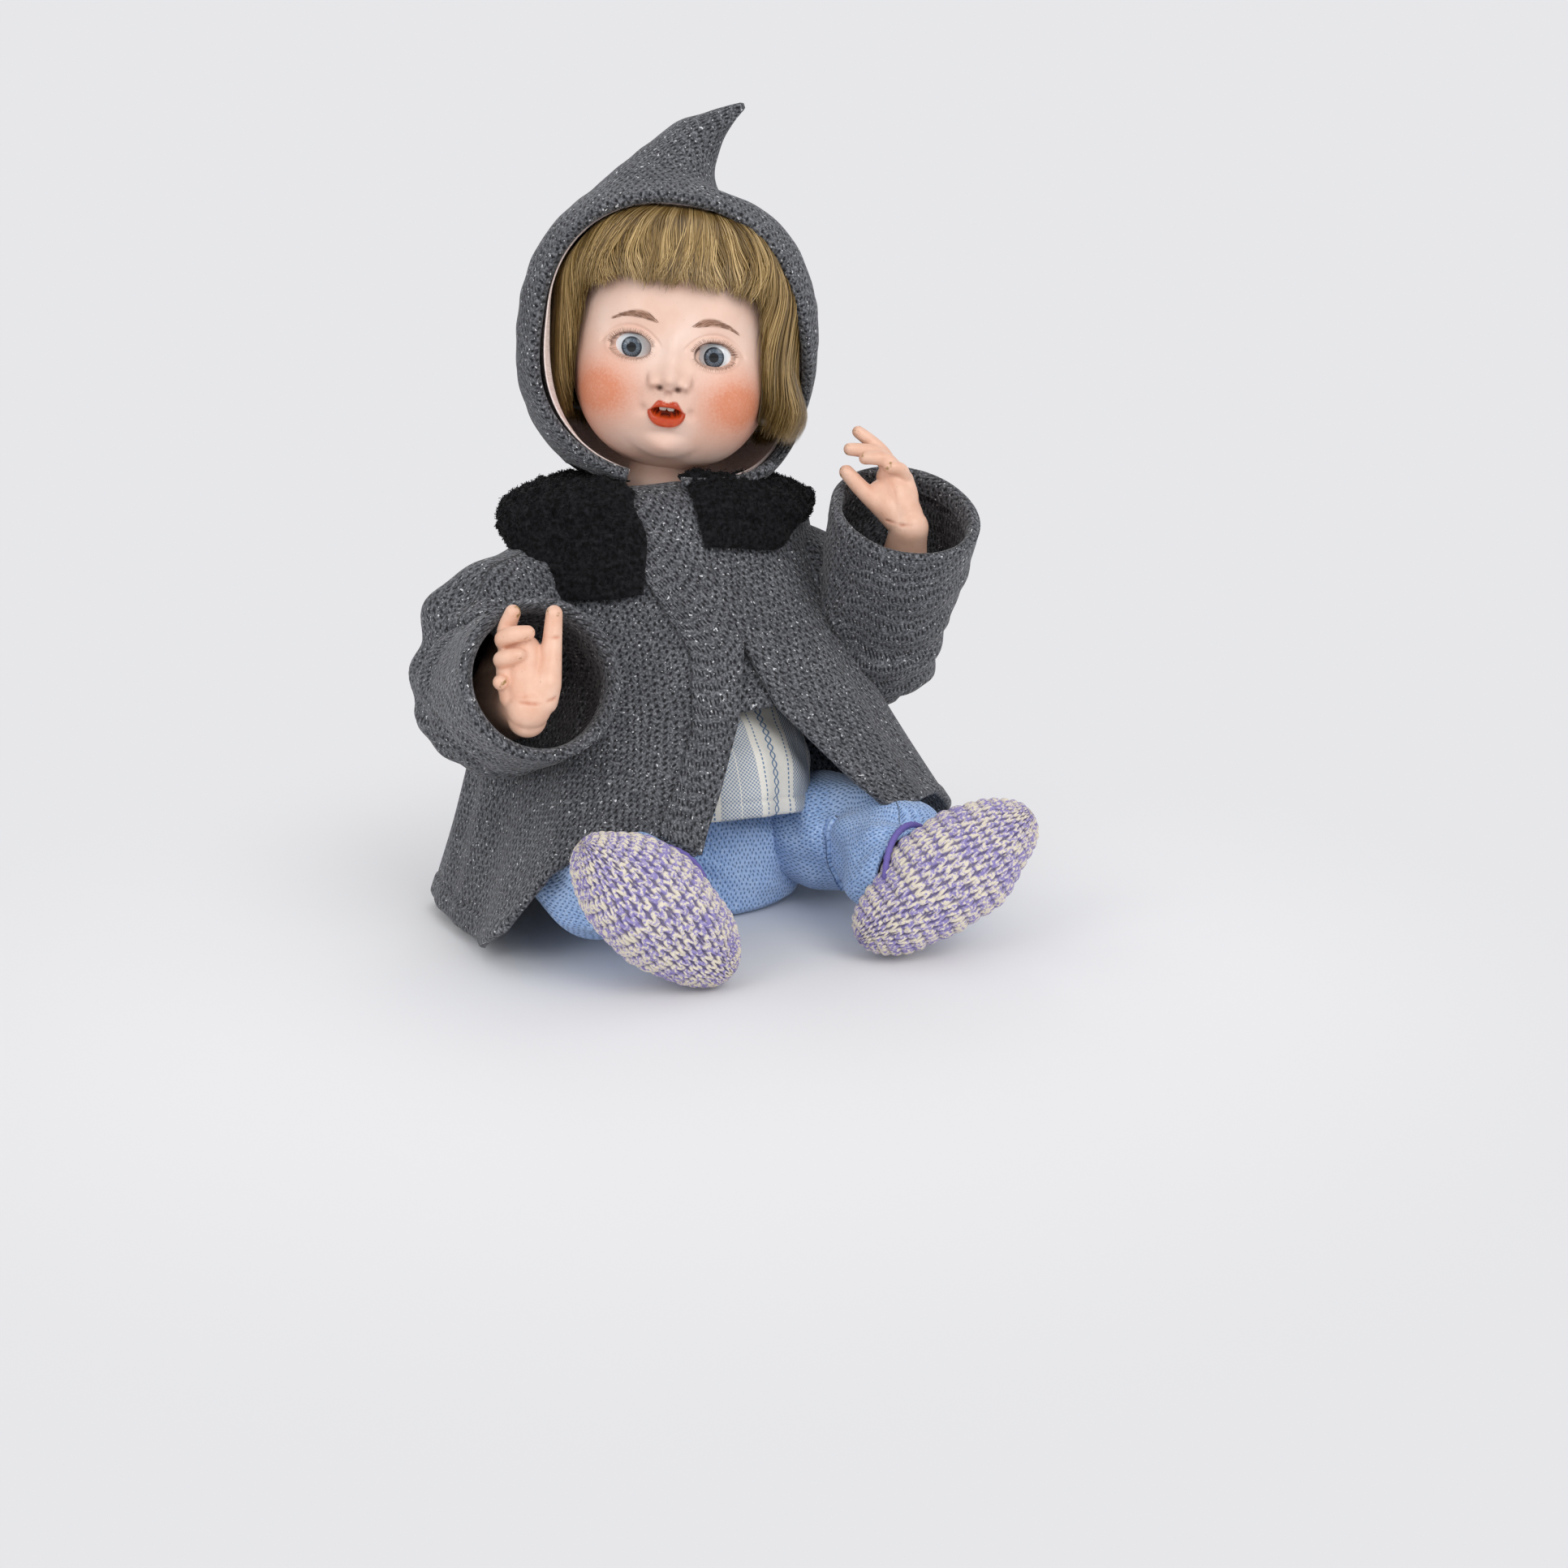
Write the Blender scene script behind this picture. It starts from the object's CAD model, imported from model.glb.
"""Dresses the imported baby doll: bisque head, glass eyes, wig, knitted coat, clothes and booties."""
from __future__ import annotations

import logging
import math
from dataclasses import dataclass, field, replace
from enum import Enum
from typing import Iterable

import bmesh
import bpy
import numpy as np
from mathutils import Euler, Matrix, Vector

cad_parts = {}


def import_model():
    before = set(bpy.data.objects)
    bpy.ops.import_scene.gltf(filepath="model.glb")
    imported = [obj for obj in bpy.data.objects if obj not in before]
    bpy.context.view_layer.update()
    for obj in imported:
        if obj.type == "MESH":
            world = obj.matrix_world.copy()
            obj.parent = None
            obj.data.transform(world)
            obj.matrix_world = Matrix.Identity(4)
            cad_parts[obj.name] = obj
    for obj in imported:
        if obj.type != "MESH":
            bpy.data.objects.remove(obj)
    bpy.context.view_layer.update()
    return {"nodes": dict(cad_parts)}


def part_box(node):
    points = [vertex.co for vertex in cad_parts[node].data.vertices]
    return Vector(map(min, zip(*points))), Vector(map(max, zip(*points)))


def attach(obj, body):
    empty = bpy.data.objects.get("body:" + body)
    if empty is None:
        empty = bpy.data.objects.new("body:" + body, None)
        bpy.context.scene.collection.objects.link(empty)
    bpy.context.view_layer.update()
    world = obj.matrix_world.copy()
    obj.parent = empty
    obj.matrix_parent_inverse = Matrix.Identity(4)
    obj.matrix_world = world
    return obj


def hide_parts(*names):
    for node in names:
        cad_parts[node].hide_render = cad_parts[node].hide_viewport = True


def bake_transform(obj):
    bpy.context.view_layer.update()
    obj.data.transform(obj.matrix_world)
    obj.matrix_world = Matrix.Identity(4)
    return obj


LOG = logging.getLogger("baby_doll")
MM = 0.001
Array = np.ndarray
Colour = tuple[float, float, float, float]
Triple = tuple[float, float, float]
Piece = bpy.types.Object
Tree = bpy.types.NodeTree
Socket = bpy.types.NodeSocket
EASED = {"interpolation_type": "SMOOTHSTEP"}


class Side(Enum):
    """The doll's own right and left, with the sign of X on that side."""

    RIGHT = -1
    LEFT = 1

    @property
    def word(self) -> str:
        """The side as it stands in node and body names."""
        return self.name.lower()


def linear(colour: str) -> Colour:
    """Turns an sRGB hex colour to linear RGBA.

    Args:
        colour: The colour, such as "#AABBCC".

    Returns:
        Linear red, green, blue and a full alpha.
    """
    parts = [int(colour[i:i + 2], 16) / 255 for i in (1, 3, 5)]
    red, green, blue = [p / 12.92 if p <= 0.04045 else ((p + 0.055) / 1.055) ** 2.4 for p in parts]
    return (red, green, blue, 1.0)


def feed(tree: Tree, node: bpy.types.Node, links: dict[str | int, object]) -> None:
    """Links sockets to a node's inputs, and sets the inputs that take plain values."""
    for name, value in links.items():
        if isinstance(value, Socket):
            tree.links.new(value, node.inputs[name])
        else:
            node.inputs[name].default_value = value


def add_node(tree: Tree, kind: str, links: dict[str | int, object] | None = None, out: str | int = 0,
             stops: tuple[tuple[float, str], ...] = (), **settings) -> Socket:
    """Adds a shader node with its settings and inputs.

    Args:
        tree: The nodes of a material or of the world.
        kind: The node type without its "ShaderNode" prefix.
        links: Input name or number to a socket that feeds it, or to a plain value.
        out: Name or number of the output asked for.
        stops: Places and hex colours of a colour ramp, in rising order.
        **settings: Attributes of the node itself.

    Returns:
        The new node's output.
    """
    made = tree.nodes.new("ShaderNode" + kind)
    for name, value in settings.items():
        setattr(made, name, value)
    feed(tree, made, links or {})
    for _ in stops[2:]:
        made.color_ramp.elements.new(0.5)
    for number, (place, colour) in enumerate(stops):
        made.color_ramp.elements[number].position = place
        made.color_ramp.elements[number].color = linear(colour)
    return made.outputs[out]


def smooth(value: Array, low: float, high: float) -> Array:
    """Eases a value from 0 at low to 1 at high."""
    share = np.clip((value - low) / (high - low), 0, 1)
    return share * share * (3 - 2 * share)


def mix(first: Array | float, second: Array | float, share: Array | float) -> Array:
    """Blends two values by a share."""
    return first + (second - first) * share


def unit(vectors: Array) -> Array:
    """Scales vectors in the last axis to length one."""
    return vectors / np.maximum(np.linalg.norm(vectors, axis=-1, keepdims=True), 1e-9)


def circle(count: int) -> Array:
    """Turns in radians, evenly spaced round a circle."""
    return np.linspace(0, 2 * math.pi, count, endpoint=False)


def spokes(spin: Array, first: Array, second: Array) -> Array:
    """Directions round a path: by place on it and by turn between its two cross directions."""
    return np.cos(spin)[None, :, None] * first[:, None] + np.sin(spin)[None, :, None] * second[:, None]


def bell(x: Array, z: Array, at: tuple[float, float], spread: tuple[float, float], height: float) -> Array:
    """A rounded swelling over a plane.

    Args:
        x: Places across, in mm.
        z: Places up, in mm.
        at: The swelling's middle.
        spread: Its reach across and up.
        height: Its height, or depth where negative.

    Returns:
        The height at each place.
    """
    return height * np.exp(-((x - at[0]) / spread[0]) ** 2 - ((z - at[1]) / spread[1]) ** 2)


def ripple(points: Array, wavelength: float, seed: int, terms: int = 6) -> Array:
    """A smooth uneven field, the same on each run.

    Args:
        points: Places in the last axis, in mm.
        wavelength: Mean distance from crest to crest, in mm.
        seed: Which of the fields.
        terms: How many plain waves it is summed from.

    Returns:
        Values of about -1 to 1.
    """
    rng = np.random.default_rng(seed)
    total = np.zeros(points.shape[:-1])
    for _ in range(terms):
        towards = unit(rng.normal(size=points.shape[-1]))
        pace = 2 * math.pi / (wavelength * rng.uniform(0.7, 1.5))
        total += np.sin(points @ towards * pace + rng.uniform(0, 2 * math.pi))
    return total / math.sqrt(terms) / 1.2


def along(stations: Iterable[tuple[float, float]], t: Array) -> Array:
    """Runs a value smoothly through stations.

    Args:
        stations: Pairs of place and value, in rising order.
        t: The places asked for.

    Returns:
        The value at each place.
    """
    pairs = list(stations)
    value = np.full(np.shape(t), pairs[0][1], float)
    for (low, first), (high, second) in zip(pairs, pairs[1:]):
        value = np.where(t > low, mix(first, second, smooth(t, low, high)), value)
    return value


def spline(points: Array, count: int) -> Array:
    """A smooth path through a few points, evenly spaced along its length.

    Args:
        points: The points it passes, in mm.
        count: How many places to return.

    Returns:
        The places, one per row.
    """
    rows = np.asarray(points, float)
    padded = np.vstack([2 * rows[0] - rows[1], rows, 2 * rows[-1] - rows[-2]])
    dense = []
    for i in range(1, len(padded) - 2):
        a, b, c, d = padded[i - 1:i + 3]
        t = np.linspace(0, 1, 60, endpoint=False)[:, None]
        dense.append(0.5 * (2 * b + (c - a) * t + (2 * a - 5 * b + 4 * c - d) * t ** 2
                            + (3 * b - a - 3 * c + d) * t ** 3))
    curve = np.vstack([*dense, rows[-1:]])
    reach = np.concatenate([[0], np.cumsum(np.linalg.norm(np.diff(curve, axis=0), axis=1))])
    wanted = np.linspace(0, reach[-1], count)
    return np.stack([np.interp(wanted, reach, curve[:, k]) for k in range(3)], axis=1)


def carried_frames(path: Array, up: tuple[float, float, float]) -> tuple[Array, Array, Array]:
    """Directions along a path that don't twist.

    Args:
        path: Places on the path.
        up: A direction that the first cross direction leans to.

    Returns:
        Tangents and two cross directions for each place.
    """
    tangents = unit(np.gradient(path, axis=0))
    across = np.zeros_like(path)
    previous = np.asarray(up, float)
    for i, tangent in enumerate(tangents):
        previous = previous - tangent * (previous @ tangent)
        previous = previous / np.linalg.norm(previous)
        across[i] = previous
    return tangents, across, np.cross(tangents, across)


def mesh_object(name: str, points: Array, faces: Array | list, values: dict[str, Array] | None = None,
                uv: Array | None = None) -> Piece:
    """Makes a smooth mesh object from places in millimetres.

    Args:
        name: The piece's name.
        points: Vertices, one per row.
        faces: Vertex numbers of each face.
        values: Per-vertex numbers that the finish reads, by name.
        uv: Per-vertex cloth coordinates in metres.

    Returns:
        The object, linked to the scene.
    """
    mesh = bpy.data.meshes.new(name)
    mesh.from_pydata((np.asarray(points) * MM).tolist(), [], faces.tolist() if isinstance(faces, Array) else faces)
    mesh.polygons.foreach_set("use_smooth", np.ones(len(mesh.polygons), bool))
    for key, value in (values or {}).items():
        keep_value(mesh, key, value)
    if uv is not None:
        corner = np.zeros(len(mesh.loops), np.int32)
        mesh.loops.foreach_get("vertex_index", corner)
        layer = mesh.uv_layers.new(name="cloth")
        layer.data.foreach_set("uv", np.ascontiguousarray(uv[corner], dtype=np.float32).ravel())
    made = bpy.data.objects.new(name, mesh)
    bpy.context.scene.collection.objects.link(made)
    return made


def keep_value(mesh: bpy.types.Mesh, key: str, value: Array) -> None:
    """Keeps a number per vertex on a mesh, for its finish to read."""
    kept = mesh.attributes.new(key, "FLOAT", "POINT")
    kept.data.foreach_set("value", np.ascontiguousarray(value, dtype=np.float32).ravel())


def grid_faces(rows: int, columns: int, wrap: bool, start: int = 0) -> Array:
    """Faces of a grid of vertices.

    Args:
        rows: Rows of vertices.
        columns: Vertices in a row.
        wrap: Whether each row closes on itself.
        start: Number of the first vertex.

    Returns:
        Four vertex numbers per face.
    """
    across = columns if wrap else columns - 1
    row, column = np.meshgrid(np.arange(rows - 1), np.arange(across), indexing="ij")
    here = row * columns + column
    beside = row * columns + (column + 1) % columns
    return start + np.stack([here, beside, beside + columns, here + columns], axis=-1).reshape(-1, 4)


def grid_normals(surface: Array, wrap: bool) -> Array:
    """Directions square to a grid of places."""
    if wrap:
        padded = np.concatenate([surface[:, -2:], surface, surface[:, :2]], axis=1)
        across = np.gradient(padded, axis=1)[:, 2:-2]
    else:
        across = np.gradient(surface, axis=1)
    return unit(np.cross(across, np.gradient(surface, axis=0)))


def grid_lengths(surface: Array) -> Array:
    """Cloth coordinates of a grid: distance along each row and down each column, in metres.

    Args:
        surface: Places by row and column, in mm.

    Returns:
        Across and down for each place.
    """
    steps = np.linalg.norm(np.diff(surface, axis=1), axis=2)
    across = np.concatenate([np.zeros((len(surface), 1)), np.cumsum(steps, axis=1)], axis=1)
    across -= across.mean(axis=1, keepdims=True)
    falls = np.linalg.norm(np.diff(surface, axis=0), axis=2)
    down = np.concatenate([np.zeros((1, surface.shape[1])), np.cumsum(falls, axis=0)], axis=0)
    return np.stack([across, down], axis=-1) * MM


@dataclass
class Cloth:
    """A sheet of cloth on a grid of places, with its thickness and hems."""

    name: str
    surface: Array
    thickness: float = 3.0
    wrap: bool = False
    outward: int = 1
    hems: dict[str, float] = field(default_factory=dict)
    hem_lift: float = 1.2
    hem_ease: float = 2.5
    # Depth and width of the stitched groove behind a hem, and of the roll at the edge
    stitch: tuple[float, float] = (0.9, 1.1)
    roll: tuple[float, float] = (1.4, 1.2)
    opening: Array | None = None

    def hem(self, lengths: Array) -> Array:
        """Lift of the turned hems, in mm, with a stitched groove behind each.

        Args:
            lengths: Cloth coordinates in metres.

        Returns:
            The lift at each place.
        """
        rows, columns = self.surface.shape[:2]
        down, across = lengths[..., 1] / MM, lengths[..., 0] / MM
        reach = {"top": down, "bottom": down[-1:] - down,
                 "start": across - across[:, :1], "end": across[:, -1:] - across}
        lift = np.zeros((rows, columns))
        for edge, width in self.hems.items():
            away = reach[edge]
            lift = np.maximum(lift, self.hem_lift * smooth(-away, -width, -width + self.hem_ease))
            lift -= self.stitch[0] * np.exp(-((away - width) / self.stitch[1]) ** 2)
            lift -= self.roll[0] * np.exp(-(away / self.roll[1]) ** 2)
        return lift

    def build(self) -> Piece:
        """Makes the closed mesh of the sheet.

        Returns:
            The object, with its flat size kept in custom values.
        """
        rows, columns = self.surface.shape[:2]
        normals = self.outward * grid_normals(self.surface, self.wrap)
        lengths = grid_lengths(self.surface)
        lift = self.hem(lengths)
        outer = self.surface + normals * lift[..., None]
        inner = self.surface - normals * (self.thickness + 0.4 * np.maximum(lift, 0))[..., None]
        front = grid_faces(rows, columns, self.wrap)
        if self.opening is not None:
            front = front[~self.opening.ravel()[front].any(axis=1)]
        faces = two_layers(front, rows * columns)
        flat = lengths.reshape(-1, 2)
        # The inner side is laid out past the edges, so that the knit runs on round them
        middle, size = (flat.max(0) + flat.min(0)) / 2, np.maximum(np.ptp(flat, 0), 1e-6)
        around = middle + (flat - middle) * (1 + 2 * (self.thickness + 1.4 * self.hem_lift) * MM / size)
        points = np.concatenate([outer.reshape(-1, 3), inner.reshape(-1, 3)])
        made = mesh_object(self.name, points, faces, uv=np.concatenate([flat, around]))
        made["width"] = float((lengths[..., 0].max(1) - lengths[..., 0].min(1)).max())
        made["length"] = float(lengths[..., 1].max())
        corners = self.surface[:-1, :-1], self.surface[1:, :-1], self.surface[:-1, 1:], self.surface[1:, 1:]
        first = np.cross(corners[1] - corners[0], corners[2] - corners[0])
        second = np.cross(corners[1] - corners[3], corners[2] - corners[3])
        area = 0.5 * (np.linalg.norm(first, axis=2).sum() + np.linalg.norm(second, axis=2).sum())
        made["area"] = float(area) * MM * MM
        recalculate(made)
        return made


def two_layers(front: Array, count: int) -> Array:
    """Closes a layer of faces with a second one behind it.

    Args:
        front: Faces of the outer layer.
        count: Vertices in a layer; the inner layer's follow the outer's.

    Returns:
        Faces of both layers and of every rim between them.
    """
    edges = np.concatenate([front[:, [k, (k + 1) % 4]] for k in range(4)])
    key = np.sort(edges, axis=1) @ np.array([2 * count, 1])
    _, place, uses = np.unique(key, return_index=True, return_counts=True)
    border = edges[place[uses == 1]]
    rims = np.stack([border[:, 1], border[:, 0], border[:, 0] + count, border[:, 1] + count], axis=-1)
    return np.concatenate([front, front[:, ::-1] + count, rims])


def recalculate(made: Piece) -> None:
    """Drops loose vertices and turns a closed mesh's faces outwards.

    Args:
        made: The object.
    """
    work = bmesh.new()
    work.from_mesh(made.data)
    bmesh.ops.delete(work, geom=[v for v in work.verts if not v.link_faces], context="VERTS")
    bmesh.ops.recalc_face_normals(work, faces=work.faces)
    work.to_mesh(made.data)
    work.free()


def ribbons(name: str, paths: Array, sides: Array, widths: Array, values: dict[str, Array] | None = None) -> Piece:
    """Makes many narrow strips in one mesh, such as hairs.

    Args:
        name: The piece's name.
        paths: Places, by strip and step.
        sides: Cross directions, by strip and step.
        widths: Half widths in mm, by strip and step.
        values: Numbers by strip and step that the finish reads.

    Returns:
        The object.
    """
    strips, steps = paths.shape[:2]
    edge = sides * widths[..., None]
    points = np.stack([paths - edge, paths + edge], axis=2).reshape(-1, 3)
    strip, step = np.meshgrid(np.arange(strips), np.arange(steps - 1), indexing="ij")
    first = (strip * steps + step) * 2
    faces = np.stack([first, first + 1, first + 3, first + 2], axis=-1).reshape(-1, 4)
    doubled = {key: np.repeat(value.reshape(-1), 2) for key, value in (values or {}).items()}
    return mesh_object(name, points, faces, doubled)


def merge(name: str, parts: list[Piece]) -> Piece:
    """Joins mesh objects into one.

    Args:
        name: The joined piece's name.
        parts: The objects, the first of which stays.

    Returns:
        The joined object.
    """
    bpy.ops.object.select_all(action="DESELECT")
    for part in parts:
        part.select_set(True)
    bpy.context.view_layer.objects.active = parts[0]
    bpy.ops.object.join()
    parts[0].name = name
    parts[0].data.name = name
    return parts[0]


def settle(made: Piece) -> None:
    """Applies an object's modifiers to its mesh.

    Args:
        made: The object.
    """
    graph = bpy.context.evaluated_depsgraph_get()
    mesh = bpy.data.meshes.new_from_object(made.evaluated_get(graph))
    made.modifiers.clear()
    made.data = mesh
    mesh.polygons.foreach_set("use_smooth", np.ones(len(mesh.polygons), bool))


def turned(angle: float, axis: str) -> Array:
    """A rotation about one axis, in degrees."""
    turn = [math.radians(angle) if a == axis else 0.0 for a in "XYZ"]
    return np.array(Euler(turn).to_matrix())


TORSO_TURN = turned(-13, "X")
TORSO_AT = np.array([0.0, 0.0, 15.0])
NECK_AT = TORSO_TURN @ np.array([0.0, 0.0, 272.0]) + TORSO_AT
HEAD_TURN = turned(-20, "Z") @ turned(7, "Y") @ turned(-3, "X")
HEAD_MIDDLE = np.array([0.0, -12.0, 98.0])
SHOULDER = np.array([66.0, 0.0, 224.0])
HIP = np.array([52.0, 7.65, 48.13])


def from_head(points: Array) -> Array:
    """Takes places about the head's middle to the doll's frame."""
    return (points + HEAD_MIDDLE) @ HEAD_TURN.T + NECK_AT


def from_torso(points: Array) -> Array:
    """Takes places on the leaning torso to the doll's frame."""
    return points @ TORSO_TURN.T + TORSO_AT


def shoulder_of(side: Side) -> Array:
    """The middle of a shoulder joint."""
    return from_torso(SHOULDER * [side.value, 1, 1])


def hip_of(side: Side) -> Array:
    """The middle of a hip joint."""
    return HIP * [side.value, 1, 1]


def blend_over(piece: Piece, limb: str, start: Array, stop: Array) -> None:
    """Lets a piece follow the torso up to one place in mm and a limb from another."""
    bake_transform(piece)


@dataclass(frozen=True)
class Layer:
    """A colour over those below it: a field, or a number that the mesh carries, says how much of it shows.

    A span eases the field first, from and to the span's first two values, and to its last two where it has four.
    """

    field: Socket | str
    colour: Socket | str
    span: tuple[float, ...] = ()


@dataclass(frozen=True)
class Look:
    """What a finish feeds to its shader: colours, plain values and a fine relief of a real depth in mm."""

    base: Socket | Colour
    values: dict[str, Socket | float]
    layers: tuple[Layer, ...] = ()
    relief: Socket | None = None
    depth: float = 0.0


class Finish:
    """A surface finish, which makes its own material."""

    name: str
    slot: str

    def paint(self, tree: Tree) -> Look:
        """Lays the finish's nodes.

        Args:
            tree: The material's nodes.

        Returns:
            What feeds the shader.
        """
        raise NotImplementedError

    def layered(self, tree: Tree, look: Look) -> Socket:
        """Lays the look's colours over one another.

        Args:
            tree: The material's nodes.
            look: The base colour and its layers.

        Returns:
            The colour on top.
        """
        colour = look.base
        for layer in look.layers:
            share, over = layer.field, layer.colour
            if isinstance(share, str):
                share = add_node(tree, "Attribute", out="Fac", attribute_name=share)
            if layer.span:
                share = add_node(tree, "MapRange", dict(enumerate((share, *layer.span))), **EASED)
            over = linear(over) if isinstance(over, str) else over
            colour = add_node(tree, "Mix", {0: share, 6: colour, 7: over}, out=2, data_type="RGBA")
        return colour

    def material(self) -> bpy.types.Material:
        """The material, made on first use.

        Returns:
            The material with this finish's name.
        """
        made = bpy.data.materials.get(self.name)
        if made is None:
            made = bpy.data.materials.new(self.name)
            made.use_nodes = True
            tree = made.node_tree
            look = self.paint(tree)
            feeds = {"Base Color": self.layered(tree, look), **look.values}
            if look.relief is not None:
                bump = {"Height": look.relief, "Distance": look.depth * MM, "Strength": 1.0}
                feeds["Normal"] = add_node(tree, "Bump", bump)
            feed(tree, tree.nodes["Principled BSDF"], feeds)
        return made

    def dress(self, made: Piece) -> None:
        """Gives a piece this finish.

        Args:
            made: The piece.
        """
        made.data.materials.clear()
        made.data.materials.append(self.material())

    def mount(self, made: Piece, body: str, node: str) -> Piece:
        """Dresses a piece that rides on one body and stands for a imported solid.

        Args:
            made: The piece.
            body: The body it rides on.
            node: The solid it stands for.

        Returns:
            The piece.
        """
        self.dress(made)
        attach(made, body)
        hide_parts(node)
        return made


def grain(tree: Tree, size: float, detail: float = 2.0, stretch: Triple = (1.0, 1.0, 1.0)) -> Socket:
    """An uneven field over the object, from its real grain size.

    Args:
        tree: The material's nodes.
        size: Width of a grain in mm.
        detail: How many finer layers it has.
        stretch: How the grain is drawn out on each axis.

    Returns:
        A value around 0.5.
    """
    drawn = add_node(tree, "Mapping", {"Vector": add_node(tree, "TexCoord", out="Object"), "Scale": stretch})
    return add_node(tree, "TexNoise", {"Vector": drawn, "Scale": 1 / (size * MM), "Detail": detail}, out="Fac")


def lattice(tree: Tree, cell: tuple[float, float]) -> Socket:
    """Distance from a knit's staggered holes, in cloth coordinates.

    Args:
        tree: The material's nodes.
        cell: Spacing of the holes along a row and of the rows, in mm.

    Returns:
        The distance, 0 in the middle of a hole and about 0.6 on the ribs.
    """
    # A square net turned by an eighth is a staggered one
    net = {"Vector": add_node(tree, "TexCoord", out="UV"), "Rotation": (0.0, 0.0, math.pi / 4),
           "Scale": (1 / (cell[0] * MM), 0.5 / (cell[1] * MM), 1.0)}
    holes = {"Vector": add_node(tree, "Mapping", net), "Scale": math.sqrt(2), "Randomness": 0.32}
    return add_node(tree, "TexVoronoi", holes, out="Distance", voronoi_dimensions="2D")


@dataclass(frozen=True)
class TintedBisque(Finish):
    """Unglazed porcelain fired with painted colours: matt, faintly mottled, with stippled cheeks and glossier lips."""

    name: str = "tinted_bisque"
    slot: str = "bisque"
    skin: str = "#EACDBD"
    flush: str = "#E2BCA8"
    cheek: str = "#D68663"
    lips: str = "#B5360F"
    lip_light: str = "#C24A1E"
    mouth: str = "#43100A"
    liner: str = "#5A3E30"
    brow: str = "#8C5C3D"
    speck: str = "#8C7468"

    def paint(self, tree: Tree) -> Look:
        """Lays skin, blush, brows, lid lines, lips and fine kiln specks.

        Args:
            tree: The material's nodes.

        Returns:
            What feeds the shader.
        """
        mottle = add_node(tree, "ValToRGB", {0: grain(tree, 26, 3)}, stops=((0.35, self.skin), (0.7, self.flush)))
        stipple = add_node(tree, "MapRange", {0: grain(tree, 1.6, 4), 1: 0.25, 2: 0.75, 3: 0.82, 4: 1.1}, **EASED)
        cheeks = add_node(tree, "Attribute", out="Fac", attribute_name="blush")
        blush = add_node(tree, "Math", {0: cheeks, 1: stipple}, operation="MULTIPLY")
        lip_tone = add_node(tree, "ValToRGB", {0: grain(tree, 5, 2)}, stops=((0.3, self.lips), (0.75, self.lip_light)))
        lips = add_node(tree, "Attribute", out="Fac", attribute_name="lips")
        gloss = add_node(tree, "MapRange", {0: lips, 1: 0.2, 2: 0.8, 3: 0.46, 4: 0.24}, **EASED)
        layers = (Layer(blush, self.cheek), Layer("brow", self.brow), Layer("liner", self.liner),
                  Layer("lips", lip_tone), Layer("mouth", self.mouth),
                  Layer(grain(tree, 1.1, 1), self.speck, (0.74, 0.78, 0.0, 0.35)))
        return Look(mottle, {"Roughness": gloss, "IOR": 1.5}, layers, grain(tree, 0.9, 3), 0.05)


@dataclass(frozen=True)
class PaintedLine(Finish):
    """China paint drawn with a fine brush: thin, soft brown strokes."""

    name: str = "china_paint"
    slot: str = "bisque"
    tone: str = "#694732"
    thin: str = "#8F6145"

    def paint(self, tree: Tree) -> Look:
        """Varies the stroke's brown a little.

        Args:
            tree: The material's nodes.

        Returns:
            What feeds the shader.
        """
        brown = add_node(tree, "ValToRGB", {0: grain(tree, 4)}, stops=((0.3, self.tone), (0.8, self.thin)))
        return Look(brown, {"Roughness": 0.5})


@dataclass(frozen=True)
class BlownGlass(Finish):
    """Blown milk glass with a threaded iris under a clear skin: wet highlights and a deep pupil."""

    name: str = "blown_glass_eye"
    slot: str = "glass_eye"
    threads: tuple[str, str, str] = ("#2F3842", "#515D69", "#87939D")
    limbus: str = "#1F2730"
    pupil: str = "#07080A"
    shade: str = "#D3D9DC"
    white: str = "#F2F4F5"
    lid: str = "#DDB3A2"

    def paint(self, tree: Tree) -> Look:
        """Rings pupil, iris threads, dark limbus and white, with a painted lid above.

        Args:
            tree: The material's nodes.

        Returns:
            What feeds the shader.
        """
        gaze, spoke_x, spoke_y = (add_node(tree, "Attribute", out="Fac", attribute_name=name)
                                  for name in ("gaze", "spoke_x", "spoke_y"))
        spoke = add_node(tree, "CombineXYZ", {0: spoke_x, 1: spoke_y})
        strands = add_node(tree, "TexNoise", {"Vector": spoke, "Scale": 9.0, "Detail": 3.0}, out="Fac")
        iris = add_node(tree, "ValToRGB", {0: strands}, stops=tuple(zip((0.3, 0.5, 0.72), self.threads)))
        # Rings by their distance from the pupil's middle over the glass, in mm
        layers = (Layer(gaze, self.limbus, (4.6, 6.5)), Layer(gaze, self.pupil, (3.3, 2.9)),
                  Layer(gaze, self.shade, (6.4, 7.0)), Layer(gaze, self.white, (7.2, 11.0)), Layer("lid", self.lid))
        return Look(iris, {"Roughness": 0.08, "IOR": 1.4, "Coat Weight": 0.25, "Coat Roughness": 0.02}, layers)


@dataclass(frozen=True)
class CombedHair(Finish):
    """Combed ash-blond hair: long strands of differing tone with a soft band of shine."""

    name: str = "combed_hair"
    slot: str = "wig"
    dark: str = "#5E4724"
    mid: str = "#9A7C45"
    light: str = "#D0B179"

    def paint(self, tree: Tree) -> Look:
        """Tones each strand by its own number and darkens it towards the root.

        Args:
            tree: The material's nodes.

        Returns:
            What feeds the shader.
        """
        strand = add_node(tree, "Attribute", out="Fac", attribute_name="tone")
        tone = add_node(tree, "ValToRGB", {0: strand}, stops=((0.05, self.dark), (0.5, self.mid), (0.95, self.light)))
        return Look(tone, {"Roughness": 0.42, "IOR": 1.55}, (Layer("along", self.dark, (0.55, 0.0, 0.0, 0.45)),))


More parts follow.
